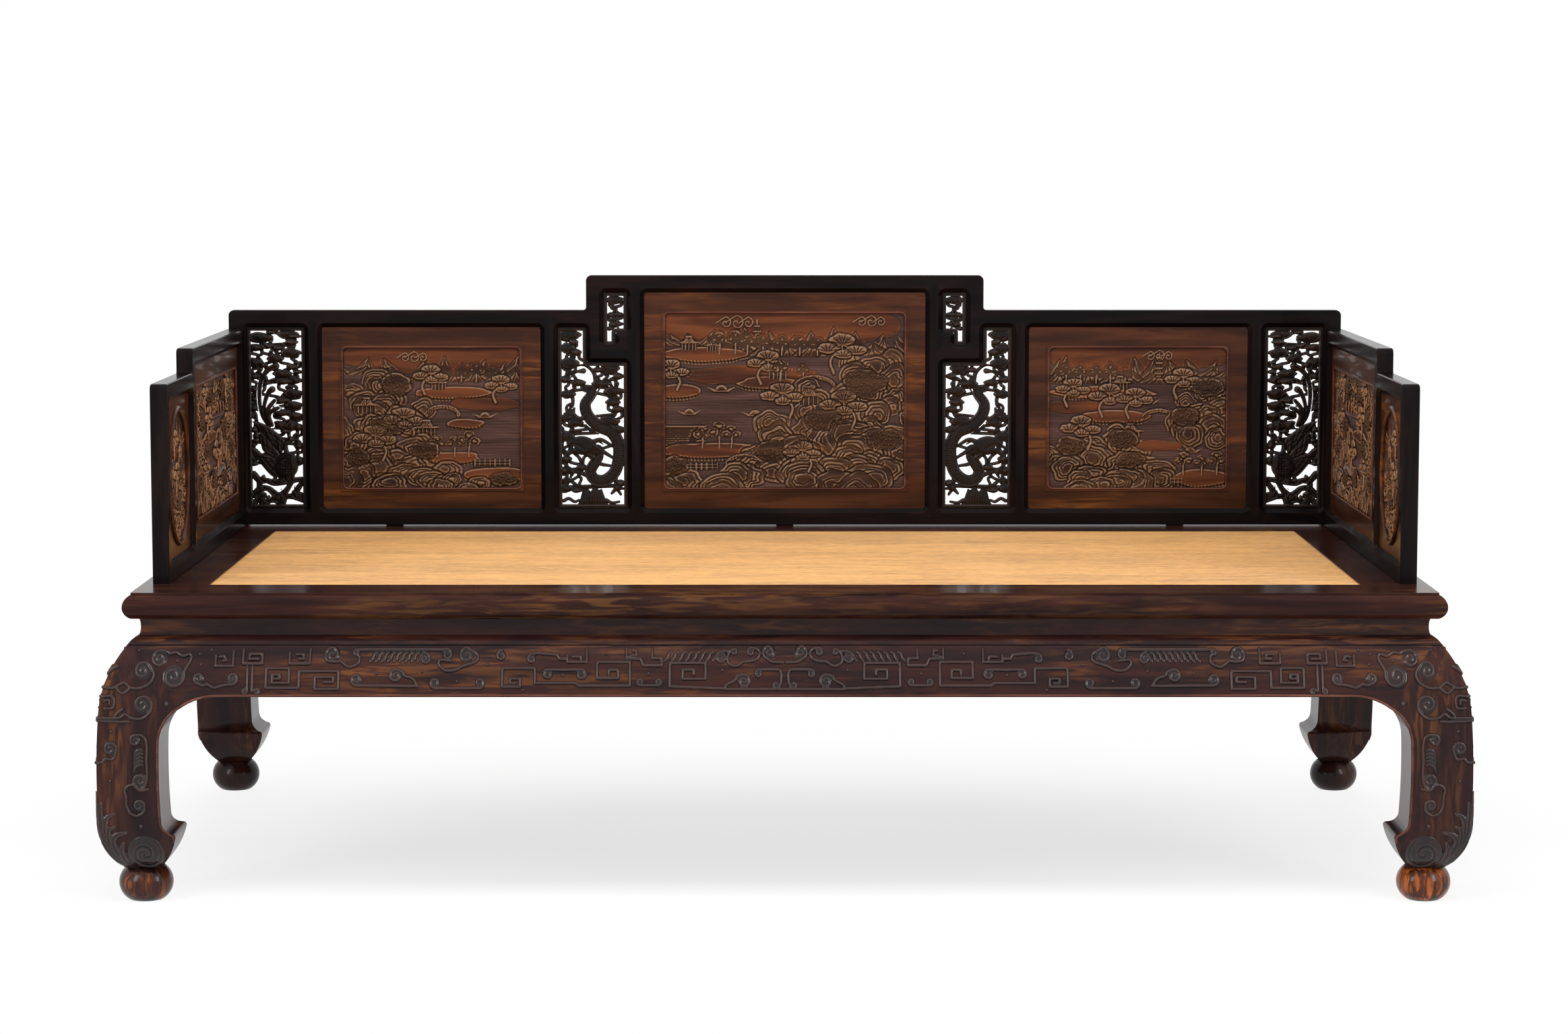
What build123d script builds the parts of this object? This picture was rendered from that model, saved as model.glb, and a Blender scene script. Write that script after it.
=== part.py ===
from build123d import *
import os
from math import atan2, degrees

# Luohan daybed: a mitred seat frame with a cane mat on four bulging hoof-footed legs, and three railings that lift off.
# Millimetres, +Z up. The origin is on the floor under the middle of the seat, X runs along the bed, -Y is its open front.

# ---------------------------------------------------------------- seat
seat_length = 2118.0            # flat top of the seat frame, without the bulge of its edge
seat_depth = 1060.0
seat_height = 505.0
rail_width = 110.0
rail_thickness = 42.5
edge_bead = 3.0                 # flat bead along the top edge
edge_quirk = 1.0                # step behind that bead
edge_bulge = 12.6               # how far the moulded edge swells past the bead
corner_tenon_reach = 60.0       # of the tenon behind each seat mitre
corner_tenon_height = 16.0
corner_tenon_thickness = 12.0

# ---------------------------------------------------------------- mat
press_strip_width = 36.0
press_strip_thickness = 3.0
press_strip_round = 1.0
mat_thickness = 2.5
webbing_thickness = 4.0
webbing_ledge = 10.0
brace_count = 4
brace_width = 45.0
brace_height = 29.0
brace_drop = 2.0                # from the webbing down to a brace's ends
brace_dip = 20.0                # how far the middle of a brace lies under its ends
brace_tenon_reach = 26.0
brace_tenon_width = 30.0
brace_tenon_height = 19.0
brace_tenon_rise = 6.0          # from a brace's underside up to its tenons

# ---------------------------------------------------------------- waist, collar and aprons
waist_height = 27.6
waist_hollow = 11.5             # inset of the waist at its top and bottom
waist_deepest = 13.8
collar_height = 13.4
collar_round = 1.4              # how far the sloping collar swells past a straight slope
waist_back = 36.0               # inset of the boards' inner face
apron_height = 80.5
apron_back_top = 22.0           # inset of the apron's inner face at its top
apron_back_bottom = -8.0        # and at the level where the bracket ends
bracket_drop = 18.3             # how far an apron's ends come down beside the legs
bracket_reach = 57.0            # how long that bracket curve is
mitre_top = 10.0                # inset of the leg and apron mitre at the top

# ---------------------------------------------------------------- legs, measured outward from the seat's edge lines
shoulder = 4.9                  # at the top of the apron
bulge_high = 47.4               # where the shoulder curve starts
bulge_full = 51.0
bulge_low = 49.3                # where the curve of the heel starts
heel = 11.4                     # on the ball foot
shoulder_height = 106.0         # of the shoulder curve, down from the apron's top
heel_height = 80.0              # of the heel curve, up from the ball foot
leg_post = 84.7                 # inset of the post's inner faces behind the aprons
knee_inset = 60.0
knee_drop = 23.0                # from the bracket's end down to that inset
shank_inset = 49.9
shank_drop = 56.0
hoof_throat = 51.7
hoof_throat_height = 81.5       # up from the ball foot
hoof_tip = 74.6
hoof_tip_height = 62.5
hoof_tip_round = 6.0
hoof_nose = 56.4
hoof_nose_height = 16.0
hoof_sole = 42.2
long_tenon = 32.0
short_tenon = 22.0
leg_tenon_size = 16.0
leg_tenon_near = 46.0           # inset of the tenons' middles from one seat edge
leg_tenon_far = 68.0            # and from the other

# ---------------------------------------------------------------- ball feet
foot_height = 55.0
foot_radius = 44.0
foot_base_radius = 27.0
foot_neck_radius = 31.0
foot_inset = 15.4
foot_peg_radius = 9.0
foot_peg_length = 22.0

# ---------------------------------------------------------------- railings
railing_thickness = 28.0
member_width = 32.0             # of every stile and rail
rear_setback = 14.0             # from the seat's rear edge to the railing's back
end_setback = 17.5              # from the seat's end edge to the railings' outer faces
railing_clearance = 0.3
shadow_gap = 2.0                # relief under the bottom rails between the stiles
rear_wing_height = 406.0        # above the seat
rear_centre_height = 471.0
side_rear_height = 372.0
side_front_height = 330.0
side_front_setback = 114.0      # from the seat's front edge
side_step_setback = 280.0       # from the side railing's front end to its step
phoenix_width = 109.5
dragon_width = 130.5
centre_width = 527.0
raised_overhang = 76.5          # from a centre stile out to the raised centre's end
hook_drop = 66.0                # from a wing's top down to the top of the hooked arm
hook_tip_height = 24.0
hook_tip_width = 22.5
outer_corner = 10.0
step_corner = 6.0
field_corner = 6.0
splay_width = 8.0
splay_depth = 7.0
edge_break = 1.6                # small bevel along the railings' outer edges

# ---------------------------------------------------------------- boards in the railings
board_recess = 8.0
board_thickness = 13.0
tongue_setback = 4.0            # from the board's face to its tongue
tongue_thickness = 6.0
tongue_depth = 5.0
bead_inset = 33.0
bead_width = 6.0
bead_height = 2.5
carving_sink = 3.0
openwork_border = 7.0
cloud_length = 56.0
cloud_height = 21.0
cloud_pitch = 68.0              # along a row
cloud_rise = 40.0               # from one row up to the next
cloud_stem = 10.0               # width of the stem between two rows
small_cloud_length = 36.0
small_cloud_pitch = 44.0
small_cloud_rise = 27.0
ring_height = 118.0             # half height of the oval moulding on the side medallion
ring_width = 100.0
ring_band = 9.0
ring_rise = 5.0
ring_bevel = 3.0

# ---------------------------------------------------------------- joints between railing and seat
frame_tenon_width = 10.0
frame_tenon_thickness = 9.0
frame_tenon_reach = 24.0
seat_tenon_width = 32.0
seat_tenon_thickness = 10.0
seat_tenon_length = 26.0
seat_tenon_clearance = 0.4
seat_mortise_spare = 2.0        # under the tenon's end
rear_tenon_inset = 306.5        # from the rear railing's end to its outer seat tenons
side_tenon_inset = 90.0         # from a side railing's ends to its seat tenons
key_neck = 8.0
key_head = 13.0
key_depth = 10.0
key_height = 30.0
key_root = 12.0
key_levels = (95.0, 235.0)      # above the seat
key_clearance = 0.3
key_entry = 1.5                 # room round the head in the wide part of its slot
railing_lift = 40.0             # how far the keys have to rise to reach that part

# ---------------------------------------------------------------- for cutting and joining only
margin = 120.0                  # past every outline, for cutting tools
overrun = 20.0                  # past a mitred corner, where a third member is near
overlap = 1.0                   # into the piece that a tenon or post grows from

# ---------------------------------------------------------------- levels and lines that follow
frame_bottom = seat_height - rail_thickness
waist_bottom = frame_bottom - waist_height
apron_top = waist_bottom - collar_height
apron_bottom = apron_top - apron_height
bracket_bottom = apron_bottom - bracket_drop
mat_top = seat_height - press_strip_thickness
mat_floor = mat_top - mat_thickness
webbing_floor = mat_floor - webbing_thickness
strip_inset = rail_width - press_strip_width
half_length = seat_length / 2
half_depth = seat_depth / 2

rear_face = half_depth - rear_setback - railing_thickness
rear_half = half_length - end_setback
side_face = rear_half - railing_thickness
railing_foot = seat_height + railing_clearance
field_floor = railing_foot + member_width
shoulder_point = member_width / 2
middle_depth = -railing_thickness / 2
bottom_line = railing_foot + shoulder_point

wing_top = seat_height + rear_wing_height
wing_field_top = wing_top - member_width
wing_line = wing_top - shoulder_point
centre_top = seat_height + rear_centre_height
centre_field_top = centre_top - member_width
end_stile_in = rear_half - member_width
phoenix_in = end_stile_in - phoenix_width
wing_out = phoenix_in - member_width
half_centre = centre_width / 2
centre_out = half_centre + member_width
dragon_out = centre_out + dragon_width
wing_in = dragon_out + member_width
post_out = centre_out + raised_overhang
post_in = post_out - member_width
arm_top = wing_top - hook_drop
arm_low = arm_top - member_width
tip_top = arm_top + hook_tip_height
tip_out = centre_out + hook_tip_width

side_front = side_front_setback - half_depth
side_rear = rear_face - railing_clearance
side_step = side_front + side_step_setback
side_high = seat_height + side_rear_height
side_low = seat_height + side_front_height
high_field_top = side_high - member_width
low_field_top = side_low - member_width

parts = {}


def box(low, high):
    """A block between two opposite corners."""
    size = [b - a for a, b in zip(low, high)]
    middle = [(a + b) / 2 for a, b in zip(low, high)]
    return Pos(*middle) * Box(*size)


def flat(*points):
    """A flat face through the points, facing up whichever way they run."""
    return make_face(Polyline(*points, close=True))


def turned(shape, quarter):
    """Turn a shape about the bed's middle by quarters of a turn."""
    return Rot(0, 0, 90 * quarter) * shape


def upright(section):
    """Stand a section drawn as (distance outside the edge line, height) on an edge line along X, outside towards -Y."""
    return Plane(origin=(0, 0, 0), x_dir=(0, -1, 0), z_dir=(-1, 0, 0)) * section


def mitred_bar(section, span):
    """A bar along X on the line y = 0 with both ends mitred for a corner at span / 2."""
    wide = span / 2 + margin
    narrow = span / 2 - margin
    plan = flat((-wide, -margin), (wide, -margin), (narrow, margin), (-narrow, margin))
    bar = extrude(upright(section), wide, both=True)
    return bar & extrude(plan, seat_height + margin)


def round_the_seat(front, side):
    """Put a long bar on the front and rear edge lines and a short one on the end lines."""
    return {"front": Pos(0, -half_depth, 0) * front,
            "rear": turned(Pos(0, -half_depth, 0) * front, 2),
            "left": turned(Pos(0, -half_length, 0) * side, -1),
            "right": turned(Pos(0, -half_length, 0) * side, 1)}


# ---------------------------------------------------------------- seat frame, mat and braces
def seat_section():
    """Section of a seat rail: moulded edge outside, rebate for the mat and ledge for the webbing inside."""
    edge_top = seat_height - edge_bead
    edge_middle = (edge_top + frame_bottom) / 2
    ledge = webbing_ledge - rail_width
    outline = [Polyline((0, frame_bottom), (-rail_width, frame_bottom), (-rail_width, webbing_floor),
                        (ledge, webbing_floor), (ledge, mat_floor), (-strip_inset, mat_floor),
                        (-strip_inset, seat_height), (0, seat_height), (0, edge_top), (-edge_quirk, edge_top)),
               ThreePointArc((-edge_quirk, edge_top), (edge_bulge, edge_middle), (0, frame_bottom))]
    return make_face(outline)


def brace(x):
    """One dished brace with a tenon into each long rail."""
    end = half_depth - rail_width
    top = webbing_floor - brace_drop
    low = top - brace_height
    outline = [Line((-end, low), (-end, top)), ThreePointArc((-end, top), (0, top - brace_dip), (end, top)),
               Line((end, top), (end, low)), ThreePointArc((end, low), (0, low - brace_dip), (-end, low))]
    body = extrude(Plane.YZ * make_face(outline), brace_width / 2, both=True)
    return Pos(x, 0, 0) * body + brace_tenons(x)


def brace_tenons(x):
    """The two tenons of a brace, which are also its mortises."""
    root = half_depth - rail_width - overlap
    tip = half_depth - rail_width + brace_tenon_reach
    low = webbing_floor - brace_drop - brace_height + brace_tenon_rise
    half = brace_tenon_width / 2
    tenon = box((x - half, root, low), (x + half, tip, low + brace_tenon_height))
    return tenon + mirror(tenon, Plane.XZ)


def brace_places():
    """Braces evenly along the opening."""
    opening = seat_length - 2 * rail_width
    pitch = opening / (brace_count + 1)
    return [pitch * (i + 1) - opening / 2 for i in range(brace_count)]


def corner_tenons():
    """A long rail's tenons through the mitres at its two ends, for both long rails."""
    middle = (frame_bottom + webbing_floor) / 2
    x = half_length - rail_width + corner_tenon_reach / 2
    y = half_depth - rail_width + corner_tenon_height + corner_tenon_thickness / 2
    return [Pos(sx * x, sy * y, middle) * Box(corner_tenon_reach, corner_tenon_thickness, corner_tenon_height)
            for sx in (-1, 1) for sy in (-1, 1)]


def leg_tenons(sx, sy):
    """Long tenon into a long rail and short tenon into an end member, beside the corner's mitre."""
    half = leg_tenon_size / 2
    tenons = []
    for along, across, reach in ((leg_tenon_far, leg_tenon_near, long_tenon),
                                 (leg_tenon_near, leg_tenon_far, short_tenon)):
        x, y = sx * (half_length - along), sy * (half_depth - across)
        tenons.append(box((x - half, y - half, frame_bottom - overlap), (x + half, y + half, frame_bottom + reach)))
    return tenons


def rear_tenon_places():
    """Where the rear railing's seat tenons stand along X."""
    return (rear_tenon_inset - rear_half, 0.0, rear_half - rear_tenon_inset)


def side_tenon_places():
    """Where a side railing's seat tenons stand along Y."""
    return (side_front + side_tenon_inset, rear_face - side_tenon_inset)


def seat_mortise(x, y, along_y=False):
    """Mortise in the seat for a railing tenon, with its running clearance."""
    size = [seat_tenon_width + 2 * seat_tenon_clearance, seat_tenon_thickness + 2 * seat_tenon_clearance]
    if along_y:
        size.reverse()
    depth = seat_tenon_length + seat_mortise_spare
    return Pos(x, y, seat_height - depth / 2) * Box(*size, depth)


def make_seat():
    """The four mitred members of the seat, with every mortise they hold."""
    section = seat_section()
    bars = round_the_seat(mitred_bar(section, seat_length), mitred_bar(section, seat_depth))
    for tenon in corner_tenons():
        middle = tenon.center()
        rail = "front" if middle.Y < 0 else "rear"
        end = "left" if middle.X < 0 else "right"
        bars[rail] = bars[rail] + tenon
        bars[end] = bars[end] - tenon
    for sx in (-1, 1):
        for sy in (-1, 1):
            for name in bars:
                bars[name] = bars[name] - leg_tenons(sx, sy)
    for x in brace_places():
        for rail in ("front", "rear"):
            bars[rail] = bars[rail] - brace_tenons(x)
    for x in rear_tenon_places():
        bars["rear"] = bars["rear"] - seat_mortise(x, rear_face - middle_depth)
    for y in side_tenon_places():
        for end, sx in (("left", -1), ("right", 1)):
            bars[end] = bars[end] - seat_mortise(sx * (side_face - middle_depth), y, along_y=True)
    parts["seat_front_rail"] = bars["front"]
    parts["seat_rear_rail"] = bars["rear"]
    parts["seat_left_end"] = bars["left"]
    parts["seat_right_end"] = bars["right"]


def make_mat():
    """Braces, webbing, cane mat and the strips that press its edge into the rebate."""
    parts["mat_braces"] = Compound([brace(x).solid() for x in brace_places()])
    ledge_x = half_length - rail_width + webbing_ledge
    ledge_y = half_depth - rail_width + webbing_ledge
    parts["palm_webbing"] = box((-ledge_x, -ledge_y, webbing_floor), (ledge_x, ledge_y, mat_floor))
    mat_x, mat_y = half_length - strip_inset, half_depth - strip_inset
    parts["cane_mat"] = box((-mat_x, -mat_y, mat_floor), (mat_x, mat_y, mat_top))
    strip = flat((-rail_width, mat_top), (-strip_inset, mat_top), (-strip_inset, seat_height),
                 (press_strip_round - rail_width, seat_height), (-rail_width, seat_height - press_strip_round))
    strips = round_the_seat(mitred_bar(strip, seat_length), mitred_bar(strip, seat_depth))
    parts["mat_press_strips"] = Compound([bar.solid() for bar in strips.values()])


# ---------------------------------------------------------------- waist, aprons and legs
def waist_section():
    """A waist board with the sloping collar worked on its lower edge."""
    collar_middle = ((shoulder - waist_hollow) / 2 + collar_round, (apron_top + waist_bottom) / 2 + collar_round)
    outline = [Polyline((-waist_hollow, frame_bottom), (-waist_back, frame_bottom), (-waist_back, apron_top),
                        (shoulder, apron_top)),
               ThreePointArc((shoulder, apron_top), collar_middle, (-waist_hollow, waist_bottom)),
               ThreePointArc((-waist_hollow, waist_bottom), (-waist_deepest, (waist_bottom + frame_bottom) / 2),
                             (-waist_hollow, frame_bottom))]
    return make_face(outline)


def outer_outline():
    """The swelling outer line of legs and aprons: heel, belly and shoulder, from the ball foot up."""
    belly = ThreePointArc((bulge_low, foot_height + heel_height), (bulge_full, (foot_height + apron_top) / 2),
                          (bulge_high, apron_top - shoulder_height))
    heel_curve = TangentArc(belly @ 0, (heel, foot_height), tangent=-(belly % 0))
    shoulder_curve = TangentArc(belly @ 1, (shoulder, apron_top), tangent=belly % 1)
    return [heel_curve, belly, shoulder_curve]


def apron_board(span):
    """An apron between two leg mitres, its ends coming down in brackets."""
    back = Polyline((shoulder, apron_top), (-apron_back_top, apron_top), (-apron_back_bottom, bracket_bottom),
                    (-apron_back_bottom, foot_height), (heel, foot_height))
    section = make_face(outer_outline() + [back])
    half = span / 2
    foot = half - leg_post
    straight = foot - bracket_reach
    bracket = TangentArc((straight, apron_bottom), (foot, bracket_bottom), tangent=(1, 0))
    face = make_face([Line((-straight, apron_bottom), (straight, apron_bottom)), bracket,
                      Polyline((foot, bracket_bottom), (half - mitre_top, apron_top), (mitre_top - half, apron_top),
                               (-foot, bracket_bottom)),
                      mirror(bracket, Plane.YZ)])
    return mitred_bar(section, span) & extrude(Plane.XZ * face, margin * 2, both=True)


def leg_outline():
    """A leg seen square on, as (distance outside the edge line, height)."""
    knee = ThreePointArc((-leg_post, bracket_bottom), (-knee_inset, bracket_bottom - knee_drop),
                         (-shank_inset, bracket_bottom - shank_drop))
    shank = TangentArc(knee @ 1, (-hoof_throat, foot_height + hoof_throat_height), tangent=knee % 1)
    throat = TangentArc(shank @ 1, (-hoof_tip, foot_height + hoof_tip_height), tangent=shank % 1)
    nose = ThreePointArc(throat @ 1, (-hoof_nose, foot_height + hoof_nose_height), (-hoof_sole, foot_height))
    ends = [Line((-hoof_sole, foot_height), (heel, foot_height)),
            Polyline((shoulder, apron_top), (-leg_post, apron_top), (-leg_post, bracket_bottom))]
    outline = make_face(outer_outline() + [knee, shank, throat, nose] + ends)
    return fillet(outline.vertices().sort_by_distance(throat @ 1)[0], hoof_tip_round)


def apron_seat():
    """What an apron takes out of a leg: everything outside its inner face and past the mitre."""
    above = apron_top + overlap
    face = flat((mitre_top, above), (mitre_top, apron_top), (leg_post, bracket_bottom),
                (leg_post + margin, bracket_bottom), (leg_post + margin, above))
    behind = flat((-apron_back_top, above), (-apron_back_top, apron_top), (-apron_back_bottom, bracket_bottom),
                  (margin, bracket_bottom), (margin, above))
    across = extrude(Plane.XZ * face, margin * 2, both=True)
    return across & extrude(upright(behind), margin * 3, both=True)


def leg(sx, sy, quarter):
    """A leg: two square outlines crossed, seats cut for both aprons, a post and tenons up into the seat frame."""
    along = extrude(upright(leg_outline()), margin * 2, both=True)
    crossed = along & turned(along, -1)
    seat = apron_seat()
    crossed = crossed - seat - mirror(turned(seat, -1), Plane.XZ)
    post = box((waist_back, waist_back, apron_top - overlap), (leg_post, leg_post, frame_bottom))
    peg_hole = Pos(foot_inset, foot_inset, foot_height) * Cylinder(foot_peg_radius, 2 * foot_peg_length)
    placed = Pos(sx * half_length, sy * half_depth, 0) * turned(crossed + post - peg_hole, quarter)
    return placed + leg_tenons(sx, sy)


def ball_foot(sx, sy):
    """A flattened ball with a round peg up into the leg."""
    side = ThreePointArc((foot_base_radius, 0), (foot_radius, foot_height / 2), (foot_neck_radius, foot_height))
    peg_top = foot_height + foot_peg_length
    outline = make_face([Line((0, 0), (foot_base_radius, 0)), side,
                         Polyline((foot_neck_radius, foot_height), (foot_peg_radius, foot_height),
                                  (foot_peg_radius, peg_top), (0, peg_top), (0, 0))])
    x, y = sx * (half_length - foot_inset), sy * (half_depth - foot_inset)
    return Pos(x, y, 0) * revolve(Plane.XZ * outline, Axis.Z)


def make_base():
    """Waist boards and aprons round the seat, and a leg with its ball foot at each corner."""
    waist = waist_section()
    boards = round_the_seat(mitred_bar(waist, seat_length), mitred_bar(waist, seat_depth))
    aprons = round_the_seat(apron_board(seat_length), apron_board(seat_depth))
    for side in boards:
        parts[f"waist_{side}"] = boards[side]
        parts[f"apron_{side}"] = aprons[side]
    corners = {"front_left": (-1, -1, 0), "front_right": (1, -1, 1), "rear_right": (1, 1, 2), "rear_left": (-1, 1, 3)}
    for name, (sx, sy, quarter) in corners.items():
        parts[f"leg_{name}"] = leg(sx, sy, quarter)
        parts[f"ball_foot_{name}"] = ball_foot(sx, sy)


# ---------------------------------------------------------------- railings, drawn face on: u along, v up, w = 0 at the face
class Field:
    """An opening in a railing for a board: its square outline, and the same with eased corners."""

    def __init__(self, *points):
        self.square = flat(*points)
        self.eased = fillet(self.square.vertices(), field_corner)


def prism(points):
    """A member's outline through the railing's thickness."""
    return extrude(flat(*points), -railing_thickness)


def mirrored(points):
    """The same points on the other side of the middle."""
    return [(-u, v) for u, v in points]


def behind_face(depth):
    """A place that far behind the railing's face."""
    return Pos(0, 0, -depth)


def field_cut(field):
    """What one field takes out of a railing: the hole, the splay round its face and the groove for the board."""
    hole = extrude(field.eased, -railing_thickness)
    slope = degrees(atan2(splay_width, splay_depth))
    splay = extrude(offset(field.eased, splay_width), -splay_depth, taper=slope)
    groove = offset(field.square, tongue_depth, kind=Kind.INTERSECTION)
    return hole + splay + extrude(behind_face(board_recess + tongue_setback) * groove, -tongue_thickness)


def fitted_board(face, field):
    """A board filling its field, held by a tongue all round in the frame's groove."""
    board = extrude(behind_face(board_recess) * face, -board_thickness)
    tongue = offset(field.square, tongue_depth, kind=Kind.INTERSECTION) - field.eased
    return board + extrude(behind_face(board_recess + tongue_setback) * tongue, -tongue_thickness)


def landscape_board(field):
    """A solid board with a raised bead and a sunk field for its carving."""
    outer = offset(field.square, -bead_inset, kind=Kind.INTERSECTION)
    inner = offset(field.square, -bead_inset - bead_width, kind=Kind.INTERSECTION)
    bead = extrude(behind_face(board_recess) * (outer - inner), bead_height)
    sunk = extrude(behind_face(board_recess) * inner, -carving_sink)
    return fitted_board(field.eased, field) + bead - sunk


def medallion_board(field):
    """A solid board with a tall oval moulding round a sunk relief."""
    inner = Ellipse(ring_width - ring_band, ring_height - ring_band)
    raised = extrude(Ellipse(ring_width, ring_height) - inner, ring_rise)
    raised = chamfer(raised.edges().group_by(Axis.Z)[-1], ring_bevel)
    middle = field.square.center()
    place = Pos(middle.X, middle.Y, -board_recess)
    return fitted_board(field.eased, field) + place * raised - place * extrude(inner, -carving_sink)


def cloud(length, height):
    """A lens-shaped cloud with six straight sides that meet in points at its ends."""
    tip, crown, shoulder_at = length / 2, height / 2, length / 5
    return flat((-tip, 0), (-shoulder_at, -crown), (shoulder_at, -crown), (tip, 0), (shoulder_at, crown),
                (-shoulder_at, crown))


def stem(start, end):
    """A slanting stem that ties one cloud to one in the next row."""
    (u0, v0), (u1, v1) = start, end
    half = cloud_stem / 2
    return flat((u0 - half, v0), (u0 + half, v0), (u1 + half, v1), (u1 - half, v1))


def cloud_rows(window, length, pitch, rise):
    """Clouds in staggered rows over a window, each tied to the row above by a stem."""
    bounds = window.bounding_box()
    size, middle = bounds.size, bounds.center()
    rows = int(size.Y // rise) + 1
    columns = int(size.X // (2 * pitch)) + 1
    shapes = []
    for row in range(rows):
        v = middle.Y + (row - (rows - 1) / 2) * rise
        stagger = pitch / 2 if row % 2 else 0
        for column in range(-columns, columns + 1):
            u = middle.X + column * pitch + stagger
            shapes.append(Pos(u, v) * cloud(length, cloud_height))
            if row + 1 < rows:
                shapes.append(stem((u, v), (u - pitch / 2, v + rise)))
    return shapes


def openwork_board(field, length, pitch, rise, figure=()):
    """A pierced board: a border, rows of clouds tied by stems, and the figure that lies across them."""
    window = offset(field.square, -openwork_border, kind=Kind.INTERSECTION)
    pattern = Sketch() + cloud_rows(window, length, pitch, rise) + list(figure)
    return fitted_board((field.eased - window) + (pattern & window), field)


def phoenix_figure(u, v):
    """A bird in outline: body, raised wing and two long tail plumes, about the middle of its board."""
    body = Pos(u + 4, v - 98) * Ellipse(26, 32)
    wing = Pos(u - 12, v - 70) * Rot(0, 0, 62) * cloud(110, 46)
    plumes = [trace(ThreePointArc((u + 6, v - 80), (u - 22, v + 10), (u + 12, v + 92)), 9),
              trace(ThreePointArc((u + 10, v - 80), (u + 2, v - 10), (u + 30, v + 48)), 9)]
    return [body, wing] + plumes


def dragon_figure(u, v):
    """A coiled body in outline, from the upper cloud down to the waves, measured from its board's lower inner corner."""
    neck = ThreePointArc((u + 70, v + 262), (u + 84, v + 224), (u + 66, v + 190))
    back = TangentArc(neck @ 1, (u + 92, v + 136), tangent=neck % 1)
    coil = TangentArc(back @ 1, (u + 40, v + 78), tangent=back % 1)
    head = Pos(u + 48, v + 112) * Ellipse(30, 18)
    waves = Pos(u + 64, v + 10) * Ellipse(46, 26)
    return [trace(curve, 24) for curve in (neck, back, coil)] + [head, waves]


def frame_tenon(u, v, direction):
    """A hidden tenon that starts at a shoulder and runs on into the other member."""
    du, dv = direction
    reach = frame_tenon_reach
    size = (reach if du else frame_tenon_width, reach if dv else frame_tenon_width, frame_tenon_thickness)
    return Pos(u + du * reach / 2, v + dv * reach / 2, middle_depth) * Box(*size)


def stile_points(u, low, high):
    """A stile from u to u + its width, with a pointed shoulder at both ends."""
    middle = u + shoulder_point
    return [(u, low), (middle, low - shoulder_point), (u + member_width, low), (u + member_width, high),
            (middle, high + shoulder_point), (u, high)]


def outer_stile_points(edge, side, high):
    """An end stile mitred to the bottom rail and to the top rail; side is +1 when its outer edge is the high u one."""
    inner = edge - side * member_width
    out = edge + side * margin
    return [(out, railing_foot - margin), (inner, field_floor), (inner, high - member_width), (out, high + margin)]


def seat_tenon(u):
    """A tenon of the bottom rail down into the seat."""
    top = railing_foot + shadow_gap + overlap
    low = seat_height - seat_tenon_length
    return Pos(u, (top + low) / 2, middle_depth) * Box(seat_tenon_width, top - low, seat_tenon_thickness)


def railing_plate(outline_points, rounded, fields, stile_in):
    """The whole framework as one plate, before it is parted; stile_in are the inner edges of its two end stiles."""
    outline = flat(*outline_points)
    for point, radius in rounded:
        corner = outline.vertices().sort_by_distance((*point, 0))[0]
        outline = fillet(corner, radius)
    plate = extrude(outline, -railing_thickness)
    faces = plate.edges().group_by(Axis.Z)
    outer_edges = (faces[-1] + faces[0]).filter_by(lambda edge: edge.center().Y > railing_foot + overlap)
    plate = chamfer(outer_edges, edge_break)
    for field in fields:
        plate = plate - field_cut(field)
    return plate - box((stile_in[0], railing_foot - overlap, -railing_thickness),
                       (stile_in[1], railing_foot + shadow_gap, 0))


def key_section(side, room):
    """A dovetail key in plan, from inside the stile out past its end; room widens it all round."""
    neck, head = key_neck / 2 + room, key_head / 2 + room
    reach = side * (key_depth + room)
    return flat((0, -neck), (reach, -head), (reach, head), (0, neck))


def key_slots():
    """Slots in an outer stile: narrow at the key's seat, wide above it where the key can leave."""
    slots = []
    middle = rear_half - railing_thickness / 2
    wide = Rectangle(2 * (key_depth + key_entry), key_head + 2 * key_entry)
    for level in key_levels:
        low = seat_height + level - key_clearance
        narrow_top = seat_height + level + key_height + key_clearance
        for section, bottom, top in ((key_section(1, key_clearance), low, narrow_top),
                                     (wide, narrow_top, narrow_top + railing_lift)):
            sunk = Plane(origin=(middle, bottom, 0), x_dir=(0, 0, -1), z_dir=(0, 1, 0)) * section
            slots.append(extrude(sunk, top - bottom))
    return slots


def stile_key(low):
    """A dovetail key let into a side railing's rear stile, its head standing out to the rear."""
    start = side_rear + railing_clearance
    root = side_rear - key_root
    head = Pos(start, 0, 0) * key_section(1, 0)
    neck = Pos((start + root) / 2, 0, 0) * Rectangle(start - root, key_neck)
    plan = Plane(origin=(0, low, middle_depth), x_dir=(1, 0, 0), z_dir=(0, 1, 0)) * (head + neck)
    return extrude(plan, key_height)


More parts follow.
